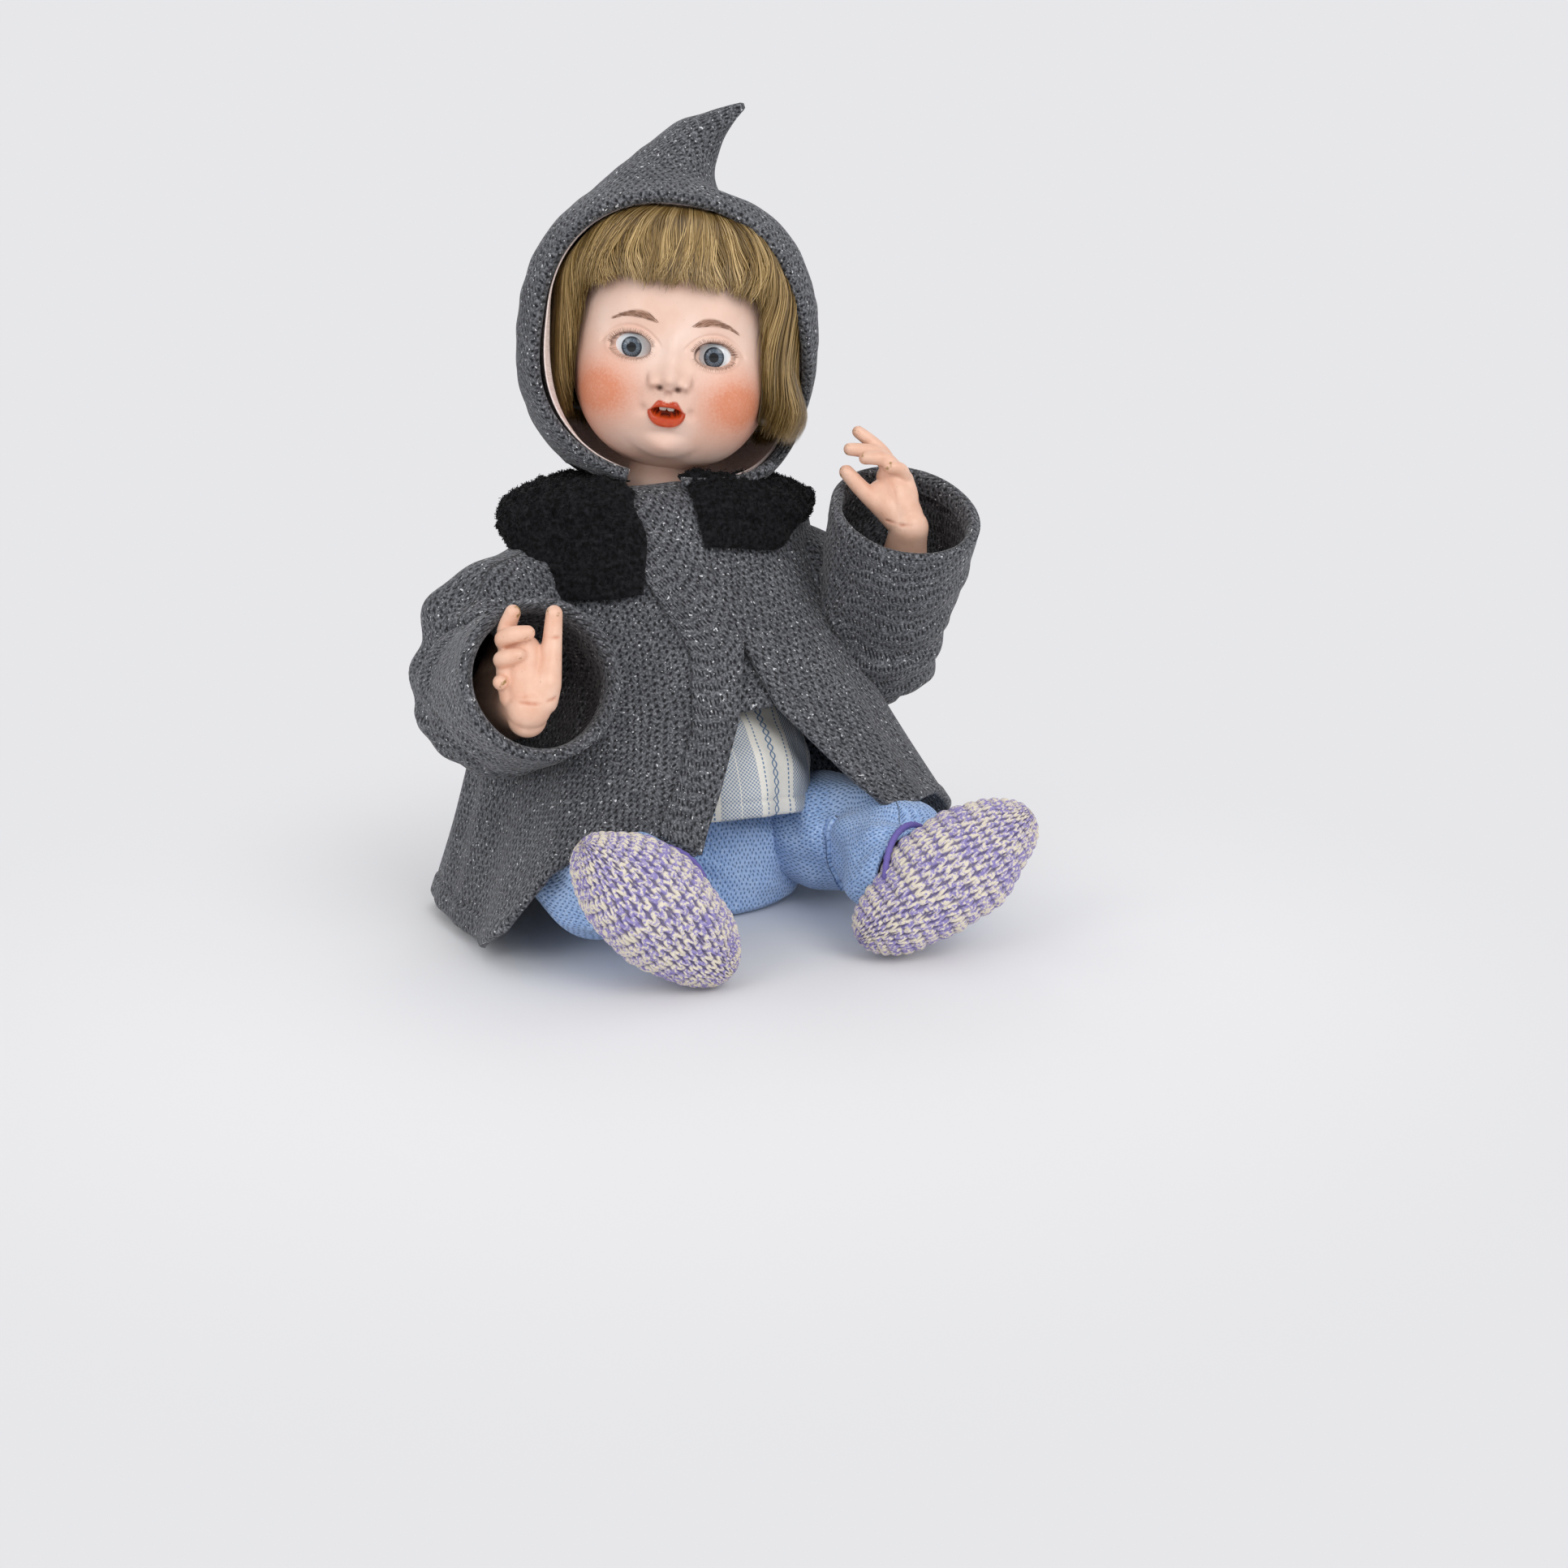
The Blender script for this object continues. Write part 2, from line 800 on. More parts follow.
@dataclass(frozen=True)
class FleckedWool(Finish):
    """Honeycomb wool: grey tweed yarn with dark holes between the ribs and pale flecks spun in."""

    name: str = "flecked_wool"
    slot: str = "coat_knit"
    light: str = "#888A8E"
    ground: str = "#595A5E"
    dark: str = "#303135"
    hole: str = "#141416"
    fleck: str = "#D5D6D8"
    cell: tuple[float, float] = (5.4, 4.6)

    def paint(self, tree: Tree) -> Look:
        """Mixes yarn tones, sinks the holes in dark and scatters the flecks.

        Args:
            tree: The material's nodes.

        Returns:
            What feeds the shader.
        """
        tones = ((0.32, self.dark), (0.5, self.ground), (0.68, self.light))
        yarn = add_node(tree, "ValToRGB", {0: grain(tree, 1.5, 3)}, stops=tones)
        ribs = lattice(tree, self.cell)
        # Flecks are about 1.5 mm and drawn a little larger than real so that they show
        layers = (Layer(grain(tree, 60, 2), self.dark, (0.3, 0.7, 0.0, 0.25)),
                  Layer(ribs, self.hole, (0.34, 0.14, 0.0, 0.9)), Layer(grain(tree, 2.2, 1), self.fleck, (0.70, 0.74)))
        values = {"Roughness": 0.92, "Specular IOR Level": 0.2, "Sheen Weight": 0.15, "Sheen Roughness": 0.5}
        return Look(yarn, values, layers, ribs, 0.9)


@dataclass(frozen=True)
class CurledPlush(Finish):
    """Black cotton plush with a curled pile: nearly black, with a dull grey bloom on the tips."""

    name: str = "curled_plush"
    slot: str = "plush"
    base: str = "#0B0B0C"
    bloom: str = "#26262A"

    def paint(self, tree: Tree) -> Look:
        """Greys the tips of the pile.

        Args:
            tree: The material's nodes.

        Returns:
            What feeds the shader.
        """
        pile = add_node(tree, "ValToRGB", {0: grain(tree, 3, 3)}, stops=((0.4, self.base), (0.75, self.bloom)))
        values = {"Roughness": 0.85, "Specular IOR Level": 0.1, "Sheen Weight": 0.04}
        return Look(pile, values, relief=grain(tree, 0.8, 2), depth=0.3)


@dataclass(frozen=True)
class WovenCotton(Finish):
    """Plain-woven cotton: matt, with fine crossing threads."""

    name: str = "lining_cotton"
    slot: str = "lining"
    colour: str = "#F2E2DB"
    shade: str = "#DCC6BE"
    thread: float = 0.7

    def paint(self, tree: Tree) -> Look:
        """Crosses two drawn-out grains for warp and weft.

        Args:
            tree: The material's nodes.

        Returns:
            What feeds the shader.
        """
        warp = grain(tree, self.thread, 1, (1.0, 1.0, 0.12))
        weft = grain(tree, self.thread, 1, (0.12, 0.12, 1.0))
        cross = add_node(tree, "Math", {0: warp, 1: weft}, operation="MAXIMUM")
        cloth = add_node(tree, "ValToRGB", {0: cross}, stops=((0.4, self.shade), (0.65, self.colour)))
        return Look(cloth, {"Roughness": 0.88}, relief=cross, depth=0.15)


@dataclass(frozen=True)
class StripedLinen(Finish):
    """Off-white linen with blue stitched lines, a small chain band and a strip of blue check weave."""

    name: str = "striped_linen"
    slot: str = "shirt_cotton"
    ground: str = "#E7E4DB"
    slub: str = "#D3CFC3"
    blue: str = "#66809F"
    pitch: float = 62.0
    dash: float = 3.0
    chain: float = 6.0
    check: float = 2.6

    def paint(self, tree: Tree) -> Look:
        """Draws the bands across the cloth from its own coordinates.

        Args:
            tree: The material's nodes.

        Returns:
            What feeds the shader.
        """
        cloth = add_node(tree, "SeparateXYZ", {0: add_node(tree, "UVMap", uv_map="cloth")}).node
        known = {"across": cloth.outputs[0], "down": cloth.outputs[1]}
        # Each step of arithmetic: its result, its kind and what it works on
        for result, kind, first, second in (
                ("mm", "MULTIPLY", "across", 1 / MM), ("fall", "MULTIPLY", "down", 1 / MM),
                ("shifted", "ADD", "mm", 40 * self.pitch), ("wrapped", "MODULO", "shifted", self.pitch),
                ("place", "SUBTRACT", "wrapped", self.pitch / 2), ("apart", "ABSOLUTE", "place", 0.0),
                ("dash_turn", "MULTIPLY", "fall", 2 * math.pi / self.dash), ("dash_wave", "SINE", "dash_turn", 0.0),
                ("dashes", "GREATER_THAN", "dash_wave", -0.35),
                ("from_right", "SUBTRACT", "place", -12.0), ("right_line", "ABSOLUTE", "from_right", 0.0),
                ("from_left", "SUBTRACT", "place", 13.0), ("left_line", "ABSOLUTE", "from_left", 0.0),
                ("chain_turn", "MULTIPLY", "fall", math.pi / self.chain), ("chain_wave", "SINE", "chain_turn", 0.0),
                ("swell", "ABSOLUTE", "chain_wave", 0.0), ("loop", "MULTIPLY", "swell", 2.4),
                ("from_loop", "SUBTRACT", "apart", "loop"), ("chain_line", "ABSOLUTE", "from_loop", 0.0),
                ("weft_turn", "MULTIPLY", "mm", 2 * math.pi / self.check), ("weft", "SINE", "weft_turn", 0.0),
                ("warp_turn", "MULTIPLY", "fall", 2 * math.pi / self.check), ("warp", "SINE", "warp_turn", 0.0),
                ("checks", "MULTIPLY", "weft", "warp"),
                ("from_band", "SUBTRACT", "apart", 24.0), ("band_line", "ABSOLUTE", "from_band", 0.0)):
            known[result] = add_node(tree, "Math", {0: known[first], 1: known.get(second, second)}, operation=kind)
        woven = add_node(tree, "MapRange", {0: known["checks"], 1: -0.2, 2: 0.3, 3: 0.15, 4: 0.9}, **EASED)
        shares = []
        for line, full, inside in (("right_line", (0.75, 0.45), known["dashes"]),
                                   ("left_line", (0.75, 0.45), known["dashes"]), ("band_line", (7.0, 6.4), woven)):
            drawn = add_node(tree, "MapRange", {0: known[line], 1: full[0], 2: full[1]}, **EASED)
            shares.append(add_node(tree, "Math", {0: drawn, 1: inside}, operation="MULTIPLY"))
        layers = (Layer(grain(tree, 0.8, 2), self.slub, (0.3, 0.7, 0.0, 0.35)),
                  Layer(shares[0], self.blue), Layer(shares[1], self.blue),
                  Layer(known["chain_line"], self.blue, (1.0, 0.6)), Layer(shares[2], self.blue))
        return Look(linear(self.ground), {"Roughness": 0.9}, layers, grain(tree, 0.7, 2), 0.2)


@dataclass(frozen=True)
class LaceKnit(Finish):
    """Fine lace knit in light blue wool: soft and matt, with small dark eyelets and a paler halo."""

    name: str = "lace_knit"
    slot: str = "trouser_knit"
    light: str = "#BED4F3"
    ground: str = "#9BBAE6"
    dark: str = "#7D9FD3"
    hole: str = "#44608F"
    cell: tuple[float, float] = (3.3, 3.0)

    def paint(self, tree: Tree) -> Look:
        """Varies the yarn and darkens the eyelets.

        Args:
            tree: The material's nodes.

        Returns:
            What feeds the shader.
        """
        tones = ((0.3, self.dark), (0.5, self.ground), (0.7, self.light))
        yarn = add_node(tree, "ValToRGB", {0: grain(tree, 1.3, 3)}, stops=tones)
        ribs = lattice(tree, self.cell)
        layers = (Layer(grain(tree, 45, 2), self.light, (0.4, 0.7, 0.0, 0.5)),
                  Layer(ribs, self.hole, (0.34, 0.16, 0.0, 0.8)))
        return Look(yarn, {"Roughness": 0.95, "Specular IOR Level": 0.2, "Sheen Weight": 0.2}, layers, ribs, 0.8)


@dataclass(frozen=True)
class CrochetYarn(Finish):
    """Crocheted cotton worked from cream and violet strands together: speckled stitches with deep gaps."""

    name: str = "crochet_yarn"
    slot: str = "bootie_yarn"
    cream: str = "#E3DAC6"
    lilac: str = "#BBB2CB"
    violet: str = "#9389BE"
    gap: str = "#6B6489"
    rim: str = "#7468AE"

    def paint(self, tree: Tree) -> Look:
        """Swaps cream and violet along the yarn and darkens between stitches.

        Args:
            tree: The material's nodes.

        Returns:
            What feeds the shader.
        """
        stitch = add_node(tree, "Attribute", out="Fac", attribute_name="tone")
        swap = add_node(tree, "Math", {0: stitch, 1: 0.22, 2: grain(tree, 2.0, 2)}, operation="MULTIPLY_ADD")
        tones = ((0.49, self.violet), (0.57, self.lilac), (0.65, self.cream))
        yarn = add_node(tree, "ValToRGB", {0: swap}, stops=tones)
        layers = (Layer("hole", self.gap, (0.3, 0.9, 0.0, 0.85)), Layer("rim", self.rim))
        relief = grain(tree, 0.8, 3, (1.0, 1.0, 0.5))
        return Look(yarn, {"Roughness": 0.93, "Specular IOR Level": 0.2}, layers, relief, 0.3)


@dataclass(frozen=True)
class PaintedComposition(Finish):
    """Pressed wood pulp under flesh paint: satin peach, with worn brown tips and a net of fine cracks."""

    name: str = "painted_composition"
    slot: str = "composition"
    flesh: str = "#EBC2AA"
    warm: str = "#E0AE93"
    crease: str = "#C98568"
    worn: str = "#9C7A48"
    speck: str = "#A77B5C"

    def paint(self, tree: Tree) -> Look:
        """Mottles the paint, wears the tips and reddens the creases.

        Args:
            tree: The material's nodes.

        Returns:
            What feeds the shader.
        """
        paint = add_node(tree, "ValToRGB", {0: grain(tree, 14, 4)}, stops=((0.35, self.flesh), (0.7, self.warm)))
        rubbed = add_node(tree, "Attribute", out="Fac", attribute_name="worn")
        chip = add_node(tree, "Math", {0: rubbed, 1: grain(tree, 2.4, 3)}, operation="MULTIPLY")
        layers = (Layer("crease", self.crease), Layer(chip, self.worn, (0.26, 0.42)),
                  Layer(grain(tree, 1.4, 2), self.speck, (0.70, 0.75, 0.0, 0.5)))
        return Look(paint, {"Roughness": 0.42, "IOR": 1.5}, layers, grain(tree, 1.2, 3), 0.12)


@dataclass(frozen=True)
class Grained(Finish):
    """A plain material with its own grain, for pieces that are seldom seen."""

    name: str
    slot: str
    colour: str
    shade: str
    size: float
    stretch: Triple = (1.0, 1.0, 1.0)
    rough: float = 0.6
    metal: float = 0.0
    relief: float = 0.1
    uneven: float = 0.1

    def paint(self, tree: Tree) -> Look:
        """Varies the colour by the grain and raises it a little.

        Args:
            tree: The material's nodes.

        Returns:
            What feeds the shader.
        """
        uneven = grain(tree, self.size, 3, self.stretch)
        colour = add_node(tree, "ValToRGB", {0: uneven}, stops=((0.35, self.shade), (0.65, self.colour)))
        rough = {0: uneven, 1: 0.2, 2: 0.8, 3: self.rough + self.uneven, 4: self.rough - self.uneven}
        values = {"Roughness": add_node(tree, "MapRange", rough, **EASED), "Metallic": self.metal}
        return Look(colour, values, relief=uneven, depth=self.relief)


# Each inner piece in what it is made of: how it was worked decides its grain and shine
BEECH = Grained("turned_beech", "wood", "#C29A64", "#9E7645", 1.2, (1.0, 0.15, 1.0), 0.55)
IRON_WIRE = Grained("drawn_iron_wire", "wire", "#8A867E", "#5E574D", 2.0, rough=0.45, metal=1.0, relief=0.03)
PLASTER = Grained("cast_plaster", "plaster", "#ECE7DE", "#D2CBBF", 1.5, rough=0.9, relief=0.2)
LEAD = Grained("cast_lead", "lead", "#74787C", "#52565A", 3.0, rough=0.55, metal=1.0)
CORK = Grained("cut_cork", "cork", "#B3855A", "#7E5634", 1.8, rough=0.9, relief=0.3)
ELASTIC = Grained("covered_elastic", "elastic", "#DDD4C2", "#B5AB98", 0.8, (1.0, 1.0, 3.0), 0.85, relief=0.2)
CARD = Grained("pressed_card", "pate", "#BBA078", "#9A8058", 2.5, rough=0.9)
MILK_GLASS = Grained("milk_glass", "teeth", "#F5F0E4", "#E6DDCB", 2.0, rough=0.25, relief=0.02)
TONGUE_PAINT = Grained("painted_tongue", "tongue", "#B8412B", "#8E2A1C", 3.0, rough=0.4)
BODY_PAINT = Grained("body_composition", "composition", "#E6B998", "#CF9C7C", 9.0, rough=0.5)


@dataclass
class Head:
    """The bisque head: a full ovoid with a modelled, painted baby face and open eyes and mouth."""

    half_width: float = 70.0
    half_depth: float = 75.0
    half_height: float = 82.0
    fullness: float = 2.25
    midline: float = -1.4
    columns: int = 400
    rows: int = 330
    eye_span: float = 26.8
    eye_level: float = -10.9
    # An opening's half width, and its height over and under the level
    eye_half: Triple = (12.7, 8.6, 7.6)
    eye_power: float = 2.3
    eye_slant: float = 0.5
    eye_taper: float = 0.16
    brow_span: tuple[float, float] = (10.5, 39.0)
    brow_hairs: int = 130
    brow_stroke: float = 0.10
    # Upper and lower lashes: degrees round the opening, their number, length and half width
    lashes: tuple = (((8, 172), 46, 3.1, 0.13), ((198, 346), 32, 2.0, 0.10))
    cut_share: float = 0.78
    crown_cut: tuple[float, float] = (-22.0, 62.0)
    mouth_level: float = -48.2
    mouth_half_width: float = 12.4
    # Swellings by direction from the head's middle: x, y, z, height and spread in radians
    paired: tuple = ((40, -52, -38, 6.8, 0.38), (32, -45, -62, 5.6, 0.32), (28, -68, -9, -3.5, 0.20),
                     (26, -66, 16, 2, 0.22), (66, 8, -14, 3, 0.20))
    single: tuple = ((0, -68, -46, 5, 0.20), (0, -56, -72, 7, 0.20))
    # Fine forms, alike on both sides: across, up, reach across and up, height, and a bend with where it starts
    relief: tuple[tuple[float, ...], ...] = (
        (0, -27, 7, 6.8, 10), (0, -12, 5.5, 13, 3.4), (10.2, -30, 3.8, 4.4, 5.6),  # tip, bridge and wings of the nose
        (0, -33.5, 5, 2.6, 2.4), (5.6, -34.2, 2.4, 1.7, -4.2), (14.4, -31, 1.6, 4.6, -1.8, 0.16, 12),  # under it
        (0, -39, 1.8, 3.4, -1), (4, -39.5, 2.2, 3, 0.7), (0, -62.2, 9, 2.4, -2),  # over and under the lips
        (15.6, -48.8, 2.8, 3, -1.6), (18.5, -44, 3, 9, -1.1),  # corners of the mouth
        (0, -80, 15, 3, -4, 0.018, 0), (0, -68.5, 10.5, 6, 3.6))  # chin
    blush: tuple[tuple[float, ...], ...] = ((41, -40.5, 24, 21, 1), (54, -34, 16, 22, 0.3), (0, -70, 11, 8, 0.18),
                                            (28, 2, 12, 5, 0.16))
    pits: tuple[tuple[float, ...], ...] = ((5.6, -34.3, 2, 1.3, 0.9), (15.8, -48.9, 1.6, 1.6, 0.12),
                                           (14.3, -31, 1.2, 3.6, 0.22, 0.16, 12))

    @staticmethod
    def swell(forms: tuple[tuple[float, ...], ...], side: Array, z: Array) -> Array:
        """Sum of rounded forms on the face.

        Args:
            forms: Rows as in relief.
            side: Distance from the midline.
            z: Places up from the head's middle.

        Returns:
            The height at each place.
        """
        total = np.zeros(np.shape(side))
        for across, up, wide, tall, height, *bent in forms:
            level = z - bent[0] * (side - bent[1]) ** 2 if bent else z
            total = total + bell(side, level, (across, up), (wide, tall), height)
        return total

    def eye_share(self, x: Array, z: Array) -> Array:
        """How far a place lies out from an eye opening's middle, 1 at its edge.

        Args:
            x: Places across the face from its midline.
            z: Places up from the head's middle.

        Returns:
            The share at each place.
        """
        across = (np.abs(x) - self.eye_span) / self.eye_half[0]
        lift = z - self.eye_level - self.eye_slant * across
        tall = np.where(lift > 0, self.eye_half[1], self.eye_half[2]) * (1 - self.eye_taper * across ** 2)
        return np.sqrt(np.abs(across) ** self.eye_power + np.abs(lift / np.maximum(tall, 3.0)) ** self.eye_power)

    def lip_lines(self, x: Array) -> tuple[Array, Array, Array, Array]:
        """Heights of the lips' upper edge, the opening's two edges and the lower edge.

        Args:
            x: Places across the face from its midline.

        Returns:
            The four heights at each place.
        """
        s = np.abs(x) / self.mouth_half_width
        top = -43.4 + 1.7 * np.exp(-((s - 0.40) / 0.30) ** 2) - 4.8 * smooth(s, 0.42, 1.0)
        opened = np.sqrt(np.clip(1 - (s / 0.80) ** 2, 0, 1))
        upper = self.mouth_level - 0.2 + 2.6 * opened
        lower = self.mouth_level - 0.2 - 3.6 * opened
        foot = self.mouth_level - 10.3 * np.sqrt(np.clip(1 - s ** 2.4, 0, 1))
        return top, upper, lower, foot

    def face_relief(self, x: Array, z: Array) -> Array:
        """Height of nose, lips, lids and creases over the plain head.

        Args:
            x: Places across the face from its midline.
            z: Places up from the head's middle.

        Returns:
            The height in mm.
        """
        side = np.abs(x)
        height = self.swell(self.relief, side, z)
        top, upper, lower, foot = self.lip_lines(x)
        for high, low, rise in ((top, upper, 2.0), (lower, foot, 3.0)):
            middle, half = (high + low) / 2, np.maximum((high - low) / 2, 0.4)
            roll = rise * np.sqrt(np.clip(1 - ((z - middle) / half) ** 2, 0, 1))
            height += roll * smooth(self.mouth_half_width - side, 0, 4)
        inside = smooth(upper - z, 0.0, 1.3) * smooth(z - lower, 0.0, 1.3)
        height -= 11.0 * inside * smooth(0.8 * self.mouth_half_width - side, 0, 1.0)
        share = self.eye_share(x, z)
        above = smooth(z, self.eye_level, self.eye_level + 4)
        height += 1.1 * np.exp(-((share - 1.22) / 0.16) ** 2) * (0.55 + 0.45 * above)
        height -= 1.0 * above * np.exp(-((share - 1.62) / 0.10) ** 2)
        return height - 10.0 * smooth(1.02 - share, 0.0, 0.16)

    def radius(self, towards: Array) -> Array:
        """Distance from the head's middle to its surface.

        Args:
            towards: Directions of length one.

        Returns:
            The distances in mm.
        """
        n = self.fullness
        sizes = np.array([self.half_width, self.half_depth, self.half_height])
        base = (np.abs(towards / sizes) ** n).sum(-1) ** (-1 / n)
        forms = [*self.single, *self.paired, *((-x, *rest) for x, *rest in self.paired)]
        for x, y, z, height, spread in forms:
            apart = np.arccos(np.clip(towards @ unit(np.array([x, y, z], float)), -1, 1)) / spread
            base = base + height * np.exp(-apart * apart)
        front = smooth(-towards[..., 1], 0.15, 0.45)
        x, z = towards[..., 0] * base - self.midline, towards[..., 2] * base
        return base + front * self.face_relief(x, z)

    def on_face(self, x: Array, z: Array, lift: float = 0.0) -> Array:
        """Places on the front of the face from their place across and up, about the head's middle.

        Args:
            x: Places across.
            z: Places up.
            lift: Distance off the face in mm.

        Returns:
            The places with their depth.
        """
        y = np.full(np.shape(x), -68.0)
        for _ in range(8):
            point = np.stack([x, y, z], -1)
            reach = self.radius(unit(point)) + lift
            y = -np.sqrt(np.maximum(reach ** 2 - x ** 2 - z ** 2, 1.0))
        return np.stack([x, y, z], -1)

    def masks(self, x: Array, z: Array, front: Array) -> dict[str, Array]:
        """Painted areas of the face.

        Args:
            x: Places across the face from its midline.
            z: Places up from the head's middle.
            front: 1 on the front of the head, 0 behind.

        Returns:
            Shares from 0 to 1 by the area's name.
        """
        side = np.abs(x)
        top, upper, lower, foot = self.lip_lines(x)
        lips = smooth(top - z, -0.6, 0.7) * smooth(z - foot, -0.6, 0.7)
        lips = lips * smooth(self.mouth_half_width - side, -0.3, 0.5)
        mouth = smooth(upper - z, 0.5, 1.5) * smooth(z - lower, 0.5, 1.5)
        mouth = mouth * smooth(0.8 * self.mouth_half_width - side, 0.2, 1.0)
        blush = self.swell(self.blush, side, z)
        share = self.eye_share(x, z)
        liner = smooth(1.08 - share, 0.0, 0.06) * smooth(share, 0.90, 0.96)
        liner = liner * (0.5 + 0.5 * smooth(z, self.eye_level - 2, self.eye_level + 4))
        liner = np.maximum(liner, self.swell(self.pits, side, z))
        arch = self.brow_line(side)
        thick = 2.7 * smooth(side, 8.5, 18) * (1 - 0.8 * smooth(side, 22, 42))
        brow = 0.8 * smooth(thick + 0.7 - np.abs(z - arch), 0, 2.2) * smooth(side, 8, 16) * smooth(-side, -42, -28)
        areas = {"lips": lips, "mouth": mouth, "blush": np.clip(blush, 0, 1), "liner": liner, "brow": brow}
        return {name: value * front for name, value in areas.items()}

    def brow_line(self, side: Array) -> Array:
        """Height of a brow's middle at a distance from the midline."""
        return 9.4 - 0.022 * (side - 24.5) ** 2 * np.where(side < 24.5, 1.0, 0.72)

    def neck(self) -> Array:
        """Rings of the neck and its ball, about the head's middle.

        Returns:
            Places by ring and turn.
        """
        heights = np.concatenate([np.linspace(-27.5, 14, 22), np.linspace(16, 60, 12)])
        radii = np.where(heights < 14.4, np.sqrt(np.maximum(28.0 ** 2 - heights ** 2, 1.0)), 24.0)
        angle = circle(64)
        ring = np.stack([np.cos(angle), np.sin(angle), 0 * angle], -1)
        rings = ring[None] * radii[:, None, None] + np.array([0, 0, 1.0]) * heights[:, None, None]
        return rings - HEAD_MIDDLE

    def build(self) -> list[Piece]:
        """Makes the head, its brow and lash strokes.

        Returns:
            The head and the strokes.
        """
        even = circle(self.columns)
        # Columns and rows lie closer together on the face
        azimuth = even - 0.6 * np.sin(even)
        latitude = np.linspace(-math.pi / 2, math.pi / 2, self.rows)
        latitude = latitude - 0.16 * np.sin(2 * (latitude + 0.45))
        latitude = np.clip(latitude, -1.565, 1.565)
        lat, az = np.meshgrid(latitude, azimuth, indexing="ij")
        towards = np.stack([np.cos(lat) * np.sin(az), -np.cos(lat) * np.cos(az), np.sin(lat)], -1)
        reach = self.radius(towards)
        points = towards * reach[..., None]
        plain_x, plain_z = points[..., 0] - self.midline, points[..., 2]
        front = smooth(-towards[..., 1], 0.15, 0.45)
        values = self.masks(plain_x, plain_z, front)
        faces = grid_faces(self.rows, self.columns, True)
        eye = np.where(front > 0.5, self.eye_share(plain_x, plain_z), 9.0).ravel()
        crown = (points @ turned(self.crown_cut[0], "X").T)[..., 2].ravel() - self.crown_cut[1]
        gone = (eye[faces] < self.cut_share).all(1) | (crown[faces] > 0).all(1)
        faces = faces[~gone]
        neck = self.neck()
        start = points.shape[0] * points.shape[1]
        faces = np.concatenate([faces, grid_faces(neck.shape[0], neck.shape[1], True, start)])
        everything = np.concatenate([points.reshape(-1, 3), neck.reshape(-1, 3)])
        padding = np.zeros(neck.shape[0] * neck.shape[1])
        head = mesh_object("bisque_head", from_head(everything), faces,
                           {k: np.concatenate([v.ravel(), padding]) for k, v in values.items()})
        TintedBisque().mount(head, "head", "head_shell")
        strokes = self.strokes()
        PaintedLine().dress(strokes)
        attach(strokes, "head")
        return [head, strokes]

    def lid_edge(self, sign: int, angle: float, share: float) -> tuple[float, float]:
        """A place round an eye opening, a share of the way out to its edge.

        Args:
            sign: 1 on the doll's left, -1 on its right.
            angle: Turn round the opening in radians.
            share: 1 at the opening's edge.

        Returns:
            The place across and up.
        """
        power = 2 / self.eye_power
        round_x, round_z = (math.copysign(abs(v) ** power, v) for v in (math.cos(angle), math.sin(angle)))
        across = round_x * share * sign
        tall = self.eye_half[1 if round_z > 0 else 2] * (1 - self.eye_taper * across ** 2)
        up = self.eye_level + self.eye_slant * across + tall * round_z * share
        return sign * self.eye_span + self.eye_half[0] * round_x * share, up

    def strokes(self) -> Piece:
        """Fine brush strokes of the brows and the painted lashes.

        Returns:
            All strokes in one piece.
        """
        rng = np.random.default_rng(3)
        starts, ends, widths = [], [], []
        for sign in (-1, 1):
            for side in rng.uniform(*self.brow_span, self.brow_hairs):
                room = 2.6 * min(1.0, (side - 8) / 8) * (1 - 0.7 * max(0.0, side - 20) / 18)
                level = float(self.brow_line(np.array(side))) + rng.uniform(-1.0, 0.7) * room
                turn = math.radians(mix(62, -34, (side - 9) / 32) + rng.uniform(-9, 9))
                length = rng.uniform(2.4, 4.4)
                starts.append((sign * side, level))
                ends.append((sign * (side + length * math.cos(turn)), level + length * math.sin(turn) * 0.6))
                widths.append(self.brow_stroke)
            for span, count, length, width in self.lashes:
                for angle in np.radians(np.linspace(*span, count)) + rng.normal(0, 0.015, count):
                    starts.append(self.lid_edge(sign, angle, 1.02))
                    lean = angle - sign * 0.30 * math.cos(angle) * abs(math.sin(angle))
                    reach = length * rng.uniform(0.8, 1.15)
                    ends.append((starts[-1][0] + reach * math.cos(lean), starts[-1][1] + reach * math.sin(lean)))
                    widths.append(width)
        first, last = np.array(starts), np.array(ends)
        share = np.linspace(0, 1, 5)[None, :, None]
        flat = mix(first[:, None], last[:, None], share)
        paths = self.on_face(flat[..., 0] + self.midline, flat[..., 1], 0.12)
        tangents = np.gradient(paths, axis=1)
        sides = unit(np.cross(tangents, unit(paths)))
        taper = np.array(widths)[:, None] * np.array([0.8, 1.0, 0.9, 0.6, 0.15])[None]
        return ribbons("painted_lashes", from_head(paths), sides @ HEAD_TURN.T, taper)


